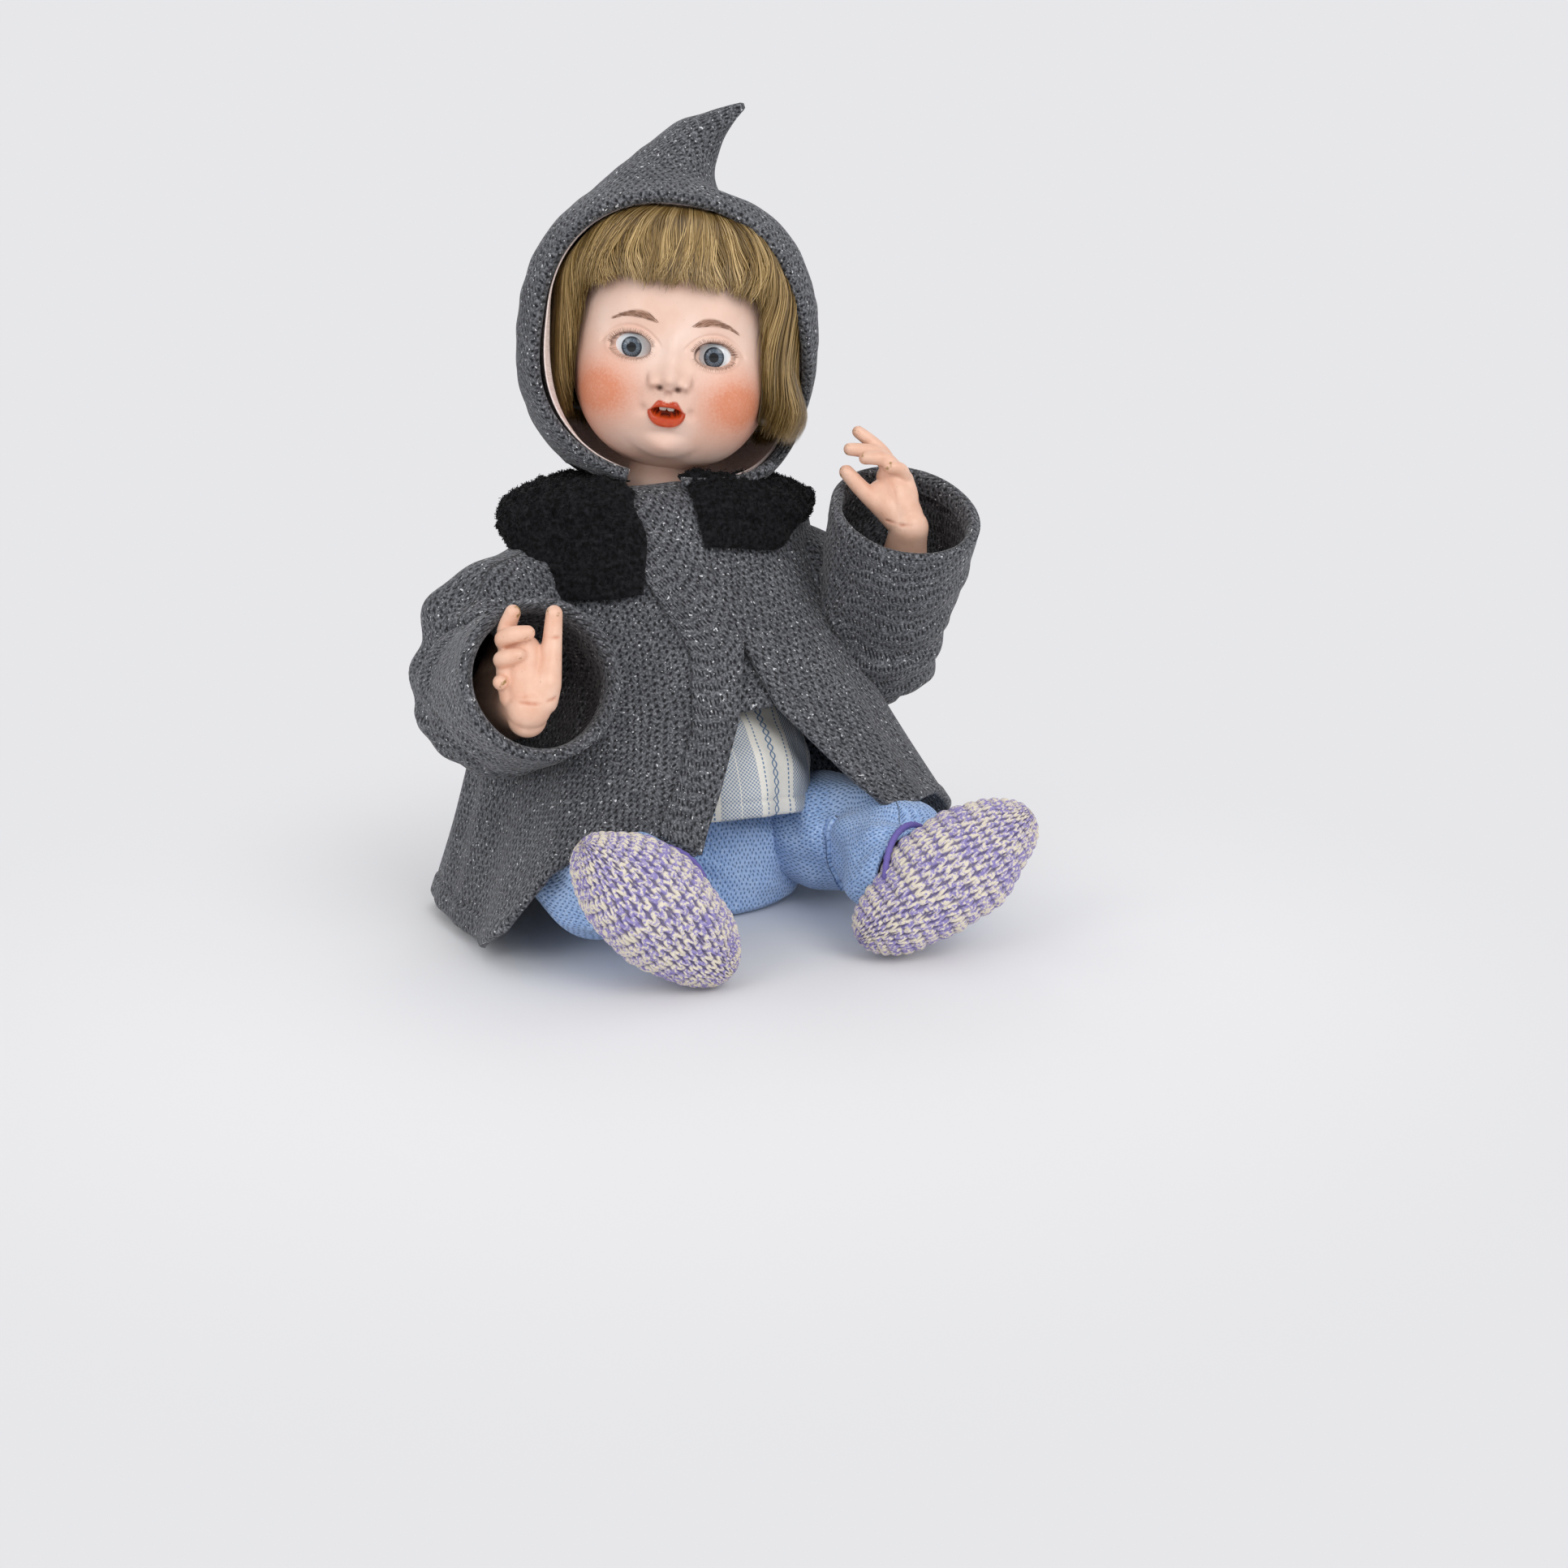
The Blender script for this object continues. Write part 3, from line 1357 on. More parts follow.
@dataclass
class Eyes:
    """The pair of blown glass eyes, seated behind the openings and turned by the rocker."""

    radius: float = 17.0
    span: float = 26.0
    pivot_span: float = 28.0
    # The iris's middle: across from the midline, and ahead of and under the eye's middle
    iris: Triple = (26.4, -14.6, -2.6)
    lid_edge: tuple[float, float] = (37.0, 39.0)

    def build(self) -> list[Piece]:
        """Makes both eyes.

        Returns:
            The eye pieces.
        """
        return [self.eye(side) for side in Side]

    def eye(self, side: Side) -> Piece:
        """Makes one eye with its iris turned to its opening.

        Args:
            side: Which of the eyes.

        Returns:
            The eye.
        """
        low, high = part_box("eye_" + side.word)
        centre = (np.array(low) + np.array(high)) / 2 / MM
        # The glass stands a little inwards on the rocker's axis, close behind its opening
        centre = centre + HEAD_TURN[:, 0] * side.value * (self.span - self.pivot_span)
        aim = np.array([side.value * (self.iris[0] - self.span) - 1.2, *self.iris[1:]])
        gaze = unit(HEAD_TURN @ aim)
        above = unit(HEAD_TURN[:, 2] - gaze * (HEAD_TURN[:, 2] @ gaze))
        across = np.cross(gaze, above)
        polar = np.concatenate([np.linspace(0, 0.75, 40), np.linspace(0.77, math.pi, 40)])
        angle, spin = np.meshgrid(polar, circle(72), indexing="ij")
        out = np.sin(angle)[..., None] * (np.cos(spin)[..., None] * across + np.sin(spin)[..., None] * above)
        # The clear skin stands a little proud over the iris
        reach = self.radius - 0.1 + 0.35 * np.exp(-(angle / 0.42) ** 4)
        points = (out + np.cos(angle)[..., None] * gaze) * reach[..., None] + centre
        rise = np.sin(angle) * np.sin(spin)
        lid = smooth(np.degrees(np.arcsin(np.clip(rise, -1, 1))), *self.lid_edge)
        values = {"gaze": (angle * self.radius).ravel(), "lid": lid.ravel(),
                  "spoke_x": np.cos(spin).ravel(), "spoke_y": np.sin(spin).ravel()}
        made = mesh_object("glass_eye_" + side.word, points.reshape(-1, 3), grid_faces(80, 72, True)[:, ::-1], values)
        return BlownGlass().mount(made, "eyes", "eye_" + side.word)


@dataclass
class Mouth:
    """Two upper milk teeth and the tongue inside the open mouth."""

    tooth: Triple = (2.5, 1.3, 3.0)
    tongue: Triple = (7.4, 6.0, 1.9)

    def build(self, head: Head) -> list[Piece]:
        """Makes teeth and tongue.

        Args:
            head: The head whose mouth they stand in.

        Returns:
            The pieces.
        """
        teeth = []
        for sign in (-1, 1):
            at = np.array([head.midline + sign * 2.6, -66.0, head.mouth_level + 3.6])
            teeth.append(self.lump("tooth", at, self.tooth, 4.0))
        row = merge("milk_teeth", teeth)
        at = np.array([head.midline, -62.0, head.mouth_level - 3.6])
        tongue = self.lump("tongue_tip", at, self.tongue, 2.2)
        return [MILK_GLASS.mount(row, "head", "teeth"), TONGUE_PAINT.mount(tongue, "head", "tongue")]

    def lump(self, name: str, at: Array, size: Triple, square: float) -> Piece:
        """A rounded block, squarer with a higher power.

        Args:
            name: The piece's name.
            at: Its middle about the head's middle.
            size: Its half sizes in mm.
            square: The power.

        Returns:
            The block.
        """
        lat, turn = np.meshgrid(np.linspace(-1.5, 1.5, 20), circle(28), indexing="ij")
        out = np.stack([np.cos(lat) * np.cos(turn), np.cos(lat) * np.sin(turn), np.sin(lat)], -1)
        reach = (np.abs(out) ** square).sum(-1) ** (-1 / square)
        points = out * reach[..., None] * np.array(size) + at
        return mesh_object(name, from_head(points.reshape(-1, 3)), grid_faces(20, 28, True))


@dataclass
class Wig:
    """A straight combed bob with a fringe, on a thin cloth cap."""

    strands: int = 17000
    steps: int = 16
    thickness: float = 13.0
    crown: float = 5.0
    fringe: float = 27.0
    bob: float = -52.0
    spread: float = 15.0
    # Turns at which the fringe ends on the doll's right and left
    parts: tuple[float, float] = (1.03, 0.86)
    strand: float = 0.28
    clumps: int = 26
    hang_from: float = -6.0
    cap_lift: float = 3.2
    seed: int = 11

    def lower_edge(self, azimuth: Array) -> Array:
        """Height at which the hair is cut, round the head from its face.

        Args:
            azimuth: Turn from the face in radians.

        Returns:
            The height over the head's middle.
        """
        part = np.where(azimuth < 0, *self.parts)
        fringe = self.fringe + 5.0 - 11.0 * smooth(np.abs(azimuth), 0.4, 1.05)
        return mix(fringe, self.bob, smooth(np.abs(azimuth) - part, -0.12, 0.06))

    def surface(self, head: Head, azimuth: Array, height: Array, lift: Array) -> Array:
        """Places on the hair at a turn and height: it hugs the crown and hangs straight below it.

        Args:
            head: The head under the hair.
            azimuth: Turn from the face, in radians.
            height: Height over the head's middle.
            lift: Distance off the head.

        Returns:
            Places about the head's middle.
        """
        hang = np.maximum(height, self.hang_from)
        level = np.clip(hang / (head.half_height + self.crown), -0.999, 0.999)
        n = head.fullness
        out = (1 - np.abs(level) ** n) ** (1 / n)
        flat = np.stack([np.sin(azimuth), -np.cos(azimuth)], -1)
        sizes = np.array([head.half_width + 1.0, head.half_depth])
        ring = (np.abs(flat / sizes) ** n).sum(-1) ** (-1 / n)
        tuck = 1 - 0.10 * smooth(-height, 30, 66)
        reach = (ring * out + lift * np.maximum(out, 0.35)) * tuck
        top = hang + lift * (1 - out) * 0.9
        level = np.where(height < self.hang_from, height, top)
        return np.stack([flat[..., 0] * reach, flat[..., 1] * reach, level], -1)

    def build(self, head: Head) -> list[Piece]:
        """Makes the cap and the combed strands.

        Args:
            head: The head under the hair.

        Returns:
            The cap and the hair.
        """
        rng = np.random.default_rng(self.seed)
        count, steps = self.strands, self.steps
        azimuth = rng.uniform(-math.pi, math.pi, count)
        clump = np.round(azimuth * self.clumps) / self.clumps
        ends = self.lower_edge(azimuth) + rng.normal(0, 2.2, count)
        ends = ends + 2.2 * np.sin(clump * 23) + 1.6 * np.sin(clump * 57 + 2)
        share = np.linspace(0, 1, steps)
        root = head.half_height + self.crown - rng.uniform(0.3, 8.0, count)
        height = mix(root[:, None], ends[:, None], share[None] ** 0.9)
        pull = 0.035 * rng.normal(0, 1, count)[:, None] * share[None]
        pull = pull + 0.35 * (clump - azimuth)[:, None] * share[None] ** 2
        swirl = 0.05 * np.sin(share[None] * 5 + clump[:, None] * 9)
        swirl = swirl + 0.02 * np.sin(share[None] * 11 + azimuth[:, None] * 40)
        turn = azimuth[:, None] + pull + swirl * share[None]
        depth = rng.uniform(0.15, 1.0, count)[:, None]
        puff = 0.55 + 0.45 * smooth(share, 0.0, 0.4)[None]
        lift = 2.0 + self.thickness * depth * puff * (1 - 0.30 * share[None] ** 3)
        lift = lift * (1 + 0.4 * smooth(height, 5, 45) * smooth(np.abs(turn), 0.2, 0.7))
        # On the doll's left the bob spreads out over the hood's rim
        lift = lift + self.spread * smooth(-height, 5, 48) * smooth(turn, 0.8, 1.15) * smooth(-turn, -1.9, -1.55)
        paths = self.surface(head, turn, height, lift)
        tangents = np.gradient(paths, axis=1)
        outward = unit(paths * np.array([1, 1, 0.6]))
        sides = unit(np.cross(tangents, outward) + 0.5 * outward * rng.normal(0, 1, count)[:, None, None])
        widths = self.strand * (1 - 0.75 * share[None] ** 4) * rng.uniform(0.6, 1.2, count)[:, None]
        tone = 0.44 + 0.26 * np.sin(clump * 31 + 1) + 0.22 * rng.normal(0, 1, count) + 0.12 * (depth[:, 0] - 0.5)
        hair = ribbons("combed_wig", from_head(paths), sides @ HEAD_TURN.T, widths,
                       {"tone": np.repeat(np.clip(tone, 0, 1)[:, None], steps, 1),
                        "along": np.repeat(share[None], count, 0)})
        return [self.cap(head), CombedHair().mount(hair, "head", "wig")]

    def cap(self, head: Head) -> Piece:
        """Makes the thin cloth cap under the strands.

        Args:
            head: The head under the cap.

        Returns:
            The cap.
        """
        rows, columns = 60, 160
        turn_grid = np.linspace(-math.pi, math.pi, columns, endpoint=False)
        low = self.lower_edge(turn_grid) + 4.0
        rise = np.linspace(0, 1, rows)[:, None]
        heights = mix(low[None], head.half_height + self.crown - 0.5, rise ** 0.8)
        turns = np.repeat(turn_grid[None], rows, 0)
        places = self.surface(head, turns, heights, np.full((rows, columns), self.cap_lift))
        cap = Cloth("wig_cap", from_head(places), 0.8, True).build()
        keep_value(cap.data, "tone", np.full(len(cap.data.vertices), 0.12))
        CombedHair("wig_cap_cloth", "wig", "#4A3B22", "#5E4C2C", "#6E5A36").dress(cap)
        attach(cap, "head")
        return cap


@dataclass
class Coat:
    """The knitted coat: a bell from the neck over the shoulders to the hem, open at the front."""

    neck_radius: float = 45.0
    neck_height: float = 283.0
    throat: float = 4.0
    shoulder_height: float = 262.0
    shoulder: tuple[float, float] = (106.0, 62.0)
    shoulder_y: float = 52.0
    hem_width: float = 174.0
    hem_depths: tuple[float, float] = (104.0, 138.0)
    # Round the hem from the right side over the front to the left: turn in degrees, reach outwards and height
    hem: tuple = ((-100, 0, 9), (-72, 10, 7), (-57, 28, 8), (-47, 38, 30), (-39, 40, 66), (-31, 34, 84), (-24, 26, 86),
                  (-12, 12, 64), (8, 6, 72), (22, 16, 80), (34, 34, 86), (45, 36, 84), (56, 26, 66), (70, 8, 30),
                  (98, 0, 9))
    hem_y: float = 24.0
    yoke: float = 0.2
    # Folds: height, how they grow to the hem, their number, and their turn at the yoke and added at the hem
    folds: tuple = ((7.0, 2.0, 6, 0.0, 0.0), (3.0, 1.4, 11, 1.7, 2.2), (1.6, 0.7, 17, 0.6, -3.0))
    seam: float = 98.0
    cloth: float = 3.4
    turned_hem: float = 15.0
    # How far ahead of a hip joint a front starts to follow its leg, and where it follows it fully
    hip_reach: tuple[float, float] = (32.0, 105.0)
    band_span: tuple[float, float] = (0.02, 0.99)
    facing_span: tuple[float, float] = (0.2, 0.68)
    # A gusset's turns in degrees, its span from neck to hem and its place inside the coat
    gusset_turns: tuple[float, float] = (50.0, 140.0)
    gusset_span: tuple[float, float] = (0.22, 0.85)
    gusset_lift: float = -27.0
    # Front edges: heights with the places across at which the edge lies
    right_edge: tuple = ((300, -9), (226, -1), (185, 11), (141, -2), (100, -25), (62, -48))
    left_edge: tuple = ((300, -14), (265, -9), (208, 8), (148, 30), (101, 71), (78, 96))

    def place(self, angle: Array, v: Array, lift: float = 0.0) -> Array:
        """Places on the coat's outside.

        Args:
            angle: Turn from the front, in radians, positive to the doll's left.
            v: Share of the way from neck to hem.
            lift: Distance off the cloth in mm.

        Returns:
            Places in the doll's frame.
        """
        s = np.clip(v / self.yoke, 0, 1)
        out, fall = np.sin(s * math.pi / 2), 1 - np.cos(s * math.pi / 2)
        w = np.clip((v - self.yoke) / (1 - self.yoke), 0, 1)
        facing = 0.5 + 0.5 * np.cos(angle)
        hem_depth = mix(*self.hem_depths, facing)
        turn = np.degrees((angle + math.pi) % (2 * math.pi) - math.pi)
        places, reach, heights = np.array(self.hem, float).T
        hem, reach = np.interp(turn, places, heights), np.interp(turn, places, reach)
        ruck = reach * w ** 1.8
        for height, grow, count, turned_by, twist in self.folds:
            ruck = ruck + height * w ** grow * np.sin(count * angle + turned_by + twist * w)
        width = self.neck_radius + (self.shoulder[0] - self.neck_radius) * out
        width = width + (self.hem_width - self.shoulder[0]) * w ** 1.2 + ruck + lift * out
        depth = self.neck_radius + (self.shoulder[1] - self.neck_radius) * out
        depth = depth + (hem_depth - self.shoulder[1]) * w ** 1.1 + ruck + lift * out
        y = mix(mix(NECK_AT[1], self.shoulder_y, s), self.hem_y, w)
        throat = self.throat * np.exp(-(angle / 0.42) ** 2) * (1 - s)
        z = mix(mix(self.neck_height + throat, self.shoulder_height, fall), hem, w)
        z = z + lift * (1 - 0.6 * fall) * (1 - 0.6 * w)
        return np.stack([width * np.sin(angle), y - depth * np.cos(angle), z], -1)

    def edge(self, line: tuple, v: Array) -> Array:
        """Turn at which a front edge lies, for each share of the way down.

        Args:
            line: Heights with their places across, from the top.
            v: Shares of the way from neck to hem.

        Returns:
            The turns in radians.
        """
        heights, places = np.array(line[::-1], float).T
        angle = np.zeros_like(v)
        for _ in range(6):
            point = self.place(angle, v)
            wide = np.linalg.norm(point[..., :1], axis=-1) / np.maximum(np.abs(np.sin(angle)), 1e-6)
            wide = np.where(np.abs(angle) < 1e-3, self.place(np.full_like(v, 0.3), v)[..., 0] / math.sin(0.3), wide)
            angle = np.arcsin(np.clip(np.interp(point[..., 2], heights, places) / wide, -0.95, 0.95))
        return angle

    def panel(self, first: Array, last: Array, columns: int, rows: int, lift: float = 0.0,
              span: tuple[float, float] = (0.0, 1.0)) -> Array:
        """A grid on the coat between two turns.

        Args:
            first: Turn of the first column, by row.
            last: Turn of the last column, by row.
            columns: Steps between them.
            rows: Steps down.
            lift: Distance off the cloth in mm.
            span: Shares of the way from neck to hem at which it starts and ends.

        Returns:
            Places in the doll's frame.
        """
        v = np.linspace(*span, rows)
        share = np.linspace(0, 1, columns)
        return self.place(mix(first[:, None], last[:, None], share[None]), np.repeat(v[:, None], columns, 1), lift)

    def build(self, sleeves: dict[Side, "Sleeve"]) -> list[Piece]:
        """Makes the back, both fronts, the placket band, the inner facing and the gussets under the arms.

        Args:
            sleeves: The sleeves, which the coat stops at.

        Returns:
            The coat's pieces.
        """
        rows = 205
        v = np.linspace(0, 1, rows)
        seam = np.full(rows, math.radians(self.seam))
        right, left = self.edge(self.right_edge, v), self.edge(self.left_edge, v)
        bottom = {"bottom": self.turned_hem}
        back = self.sew("wool_back", self.panel(seam, 2 * math.pi - seam, 260, rows), bottom, sleeves)
        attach(back, "torso")
        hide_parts("coat_back")
        front_left = self.sew("wool_front_left", self.panel(left, seam, 160, rows), {**bottom, "start": 14.0}, sleeves)
        front_right = self.sew("wool_front_right", self.panel(-seam, right, 160, rows), bottom, sleeves)
        band = self.sew("wool_placket", self.along_edge((-19, 2), 18, 190, 3.0, self.band_span),
                        {"start": 4.0, "end": 4.0}, {})
        fronts = ((front_left, Side.LEFT, "coat_front_left"), (front_right, Side.RIGHT, "coat_front_right"),
                  (band, Side.RIGHT, "placket"))
        forward = np.array([0.0, -0.8, -0.6])
        for piece, side, node in fronts:
            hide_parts(node)
            blend_over(piece, "leg_" + side.word, *(hip_of(side) + forward * reach for reach in self.hip_reach))
        facing = self.sew("wool_facing", self.along_edge((-10, 30), 24, 60, -6.0, self.facing_span),
                          {"bottom": 5.0, "end": 4.0}, {})
        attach(facing, "torso")
        pieces = [back, front_left, front_right, band, facing]
        for side in Side:
            first, last = sorted(math.radians(side.value * turn) for turn in self.gusset_turns)
            under = self.panel(np.full(80, first), np.full(80, last), 90, 80, self.gusset_lift, self.gusset_span)
            gusset = self.sew("wool_gusset_" + side.word, under, {}, {side: replace(sleeves[side], arm_room=0.0)})
            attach(gusset, "torso")
            pieces.append(gusset)
        return pieces

    def along_edge(self, reach: tuple[float, float], columns: int, rows: int, lift: float,
                   span: tuple[float, float]) -> Array:
        """A grid that follows the right front's edge.

        Args:
            reach: How far it starts and ends from the edge, in mm to the doll's left.
            columns: Steps across.
            rows: Steps down.
            lift: Distance off the cloth in mm.
            span: Shares of the way from neck to hem at which it starts and ends.

        Returns:
            Places in the doll's frame.
        """
        v = np.linspace(*span, rows)
        edge = self.edge(self.right_edge, v)
        far = np.linalg.norm(self.place(edge, v)[:, :2] - np.array([0, self.hem_y]), axis=1)
        return self.panel(edge + reach[0] / far, edge + reach[1] / far, columns, rows, lift, span)

    def sew(self, name: str, surface: Array, hems: dict[str, float], sleeves: dict[Side, "Sleeve"]) -> Piece:
        """Makes a knitted panel and opens it where a sleeve passes.

        Args:
            name: The piece's name.
            surface: Its grid of places.
            hems: Width of the turned hem at each named edge.
            sleeves: The sleeves to leave room for.

        Returns:
            The panel.
        """
        opening = np.zeros(surface.shape[:2], bool)
        for sleeve in sleeves.values():
            opening |= sleeve.holds(surface.reshape(-1, 3)).reshape(opening.shape)
        made = Cloth(name, surface, self.cloth, outward=-1, hems=hems, opening=opening).build()
        made["area"] *= 1 - float(opening.mean())
        FleckedWool().dress(made)
        return made


@dataclass
class Sleeve:
    """A wide knitted sleeve from the shoulder to its rolled cuff, bent at the elbow."""

    side: Side
    elbow: Triple
    end: Triple
    radii: Triple = (36.0, 41.0, 47.0)
    cloth: float = 3.4
    rows: int = 150
    columns: int = 190
    cuff_width: float = 17.0
    cuff_depth: float = 7.5
    sag: float = 5.0
    crumple: tuple[float, float] = (1.2, 2.4)
    heave: float = 0.0
    arm_room: float = 26.0
    # How far out from the shoulder joint the sleeve starts to follow the arm, and where it follows it fully
    shoulder_reach: tuple[float, float] = (-8.0, 13.0)

    def axis(self, count: int) -> Array:
        """The sleeve's middle line, rounded at the elbow.

        Args:
            count: How many places.

        Returns:
            The places.
        """
        top, elbow, end = shoulder_of(self.side), np.array(self.elbow), np.array(self.end)
        bend = [mix(top, elbow, 0.7), mix(elbow, (top + end) / 2, 0.08), mix(elbow, end, 0.3)]
        return spline(np.array([top, *bend, end]), count)

    def holds(self, points: Array) -> Array:
        """Which places lie inside the sleeve.

        Args:
            points: Places, one per row.

        Returns:
            True for each place inside.
        """
        line = self.axis(40)
        share = np.linspace(0, 1, 40)
        # The armhole is as wide as the sleeve, and further down only the arm needs room
        armhole = along([(0, self.radii[0]), (0.5, self.radii[1])], share) - 4.5
        radius = np.where(share < 0.3, armhole, self.arm_room)
        near = np.full(len(points), False)
        for at, reach in zip(line[3:], radius[3:]):
            near |= ((points - at) ** 2).sum(1) < reach ** 2
        return near

    def wall(self, t: Array, spin: Array) -> Array:
        """Places on the sleeve's outside, on a grid of the way along and the turn round it.

        Args:
            t: Shares of the way along.
            spin: Turns in radians.

        Returns:
            Places by row and turn.
        """
        path = self.axis(len(t))
        _, first, second = carried_frames(path, (0, 0, 1))
        radius = along(zip((0, 0.5, 1), self.radii), t)[:, None]
        point = path[:, None] + radius[..., None] * spokes(spin, first, second)
        bend = np.exp(-((t - 0.5) / 0.2) ** 2)[:, None]
        out = unit(point - path[:, None])
        sag = np.maximum(-out[..., 2], 0) * self.sag * np.sin(math.pi * t)[:, None] ** 2
        waves = ripple(point * np.array([1, 1.6, 1.6]), 42, 5 + self.side.value)
        crumple = (self.crumple[0] + self.crumple[1] * bend) * waves + sag
        # The stiff cloth stands up over the arm where the sleeve leaves the shoulder
        stand = np.maximum(0.8 * self.side.value * out[..., 0] + 0.6 * out[..., 2], 0) ** 1.5
        crumple = crumple + self.heave * stand * np.exp(-((t - 0.36) / 0.2) ** 2)[:, None]
        crumple = crumple * smooth(1 - t, 0.02, 0.15)[:, None]
        return point + out * crumple[..., None]

    def build(self) -> list[Piece]:
        """Makes the sleeve and its cuff.

        Returns:
            Both pieces.
        """
        t = np.linspace(0.05, 1, self.rows)
        spin = circle(self.columns)
        arm = "arm_" + self.side.word
        sleeve = Cloth("wool_sleeve_" + self.side.word, self.wall(t, spin), self.cloth, True, outward=-1).build()
        FleckedWool().dress(sleeve)
        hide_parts("sleeve_" + self.side.word)
        out = np.array([self.side.value, 0.0, 0.0])
        blend_over(sleeve, arm, *(shoulder_of(self.side) + out * reach for reach in self.shoulder_reach))
        cuff = FleckedWool().mount(self.cuff(spin), arm, "cuff_" + self.side.word)
        return [sleeve, cuff]

    def cuff(self, spin: Array) -> Piece:
        """Makes the turned and stitched band at the sleeve's end.

        Args:
            spin: Turns round the sleeve.

        Returns:
            The band.
        """
        t = np.linspace(0, 1, 60)
        path, wall = self.axis(60), self.wall(t, spin)
        towards = unit(path[-1] - path[-4])
        middle, ring = path[-1], wall[-1]
        out = unit(ring - middle)
        turn = circle(40)
        # A rounded bar, bent round the opening: width along the sleeve, depth across its wall
        along_bar = np.sign(np.cos(turn)) * np.abs(np.cos(turn)) ** 0.6 * self.cuff_width / 2
        across_bar = np.sign(np.sin(turn)) * np.abs(np.sin(turn)) ** 0.8 * self.cuff_depth / 2
        swell = 1 + 0.10 * ripple(ring, 30, 3)
        point = ring[None] + towards * (along_bar[:, None, None] - self.cuff_width / 2 + 2.5)
        point = point + out[None] * (across_bar[:, None] * swell[None] - 0.8)[..., None]
        flat = grid_lengths(point).reshape(-1, 2)
        groove = np.exp(-((np.abs(turn - math.pi) - 0.9) / 0.12) ** 2)[:, None]
        point = point - grid_normals(point, True) * (0.8 * groove)[..., None]
        rows, columns = point.shape[:2]
        faces = grid_faces(rows + 1, columns, True) % (rows * columns)
        made = mesh_object("wool_cuff_" + self.side.word, point.reshape(-1, 3), faces, uv=flat)
        recalculate(made)
        return made


@dataclass
class Collar:
    """Two broad flaps of black curled plush laid over the coat's shoulders."""

    coat: Coat
    thickness: float = 7.0
    lift: float = 5.5
    curls: int = 9000
    curl_steps: int = 7
    curl_width: float = 0.42
    seed: int = 23
    # Share of the way to the hem at which the flaps start, and the turn at which they meet behind
    neck: float = 0.012
    nape: float = math.pi * 0.995
    # Each flap's front edge: its turn by the share of the way down it
    fronts: dict = field(default_factory=lambda: {
        Side.RIGHT: ((0, -0.73), (0.25, -0.43), (0.6, -0.34), (1, -0.38)),
        Side.LEFT: ((0, -0.10), (0.5, -0.02), (1, 0.0))})
    # Each flap's depth: share of the way to the hem by the share of the way round to the nape
    depths: dict = field(default_factory=lambda: {
        Side.RIGHT: ((0, 0.40), (0.05, 0.41), (0.2, 0.36), (0.32, 0.28), (0.45, 0.24), (1, 0.24)),
        Side.LEFT: ((0, 0.27), (0.15, 0.29), (0.26, 0.22), (0.36, 0.17), (0.5, 0.16), (1, 0.2))})

    def flap(self, side: Side) -> Array:
        """The flap's upper surface as a grid on the coat, from its front edge round to the nape.

        Args:
            side: Which of the flaps.

        Returns:
            Places by row and column.
        """
        rows, columns = 60, 130
        share = np.linspace(0, 1, columns)
        v = np.linspace(0, 1, rows)
        front, depth = along(self.fronts[side], v), along(self.depths[side], share)
        angle = mix(front[:, None], side.value * self.nape, share[None])
        fall = self.neck + v[:, None] * (depth[None] - self.neck)
        surface = self.coat.place(angle, fall, self.lift)
        return surface if side is Side.LEFT else surface[:, ::-1]

    def build(self) -> list[Piece]:
        """Makes both flaps with their curls.

        Returns:
            The flaps.
        """
        return [self.sew(side) for side in Side]

    def sew(self, side: Side) -> Piece:
        """Makes one flap: a soft slab and its standing curls.

        Args:
            side: Which of the flaps.

        Returns:
            The flap.
        """
        rng = np.random.default_rng(self.seed + side.value)
        surface = self.flap(side)
        normals = -grid_normals(surface, False)
        rows, columns = surface.shape[:2]
        # The pile thins out towards all four edges
        rise, reach = (steep * np.minimum(np.linspace(0, 1, count), np.linspace(1, 0, count))
                       for steep, count in ((9, rows), (16, columns)))
        pile = self.thickness * np.sqrt(np.clip(np.minimum(rise[:, None], reach[None]), 0.02, 1))
        lumps = pile * (0.82 + 0.20 * ripple(surface, 11, 4) + 0.14 * ripple(surface, 5, 9))
        top = surface + normals * lumps[..., None]
        slab = np.concatenate([top.reshape(-1, 3), surface.reshape(-1, 3)])
        faces = two_layers(grid_faces(rows, columns, False), rows * columns)
        base = mesh_object("plush_base_" + side.word, slab, faces)
        recalculate(base)
        pick_row, pick_column = rng.integers(1, rows - 1, self.curls), rng.integers(1, columns - 1, self.curls)
        root, out = top[pick_row, pick_column], normals[pick_row, pick_column]
        share = np.linspace(0, 1, self.curl_steps)
        lean = unit(rng.normal(size=(self.curls, 3)))
        swing = np.cross(out, lean)
        length = rng.uniform(1.4, 3.0, self.curls)[:, None, None]
        phase = rng.uniform(0, 6.28, self.curls)[:, None] + share * 5.5
        curl = np.cos(phase)[..., None] * lean[:, None] + np.sin(phase)[..., None] * swing[:, None]
        paths = root[:, None] - out[:, None] * 1.0 + length * share[None, :, None] * out[:, None] * 0.75
        paths = paths + 1.3 * share[None, :, None] * curl
        sides = unit(np.cross(np.gradient(paths, axis=1), lean[:, None] + 0.01))
        widths = np.full((self.curls, self.curl_steps), self.curl_width) * (1 - 0.6 * share)[None]
        fuzz = ribbons("curls_" + side.word, paths, sides, widths)
        made = merge("plush_collar_" + side.word, [base, fuzz])
        CurledPlush().mount(made, "torso", "collar_" + side.word)
        return made


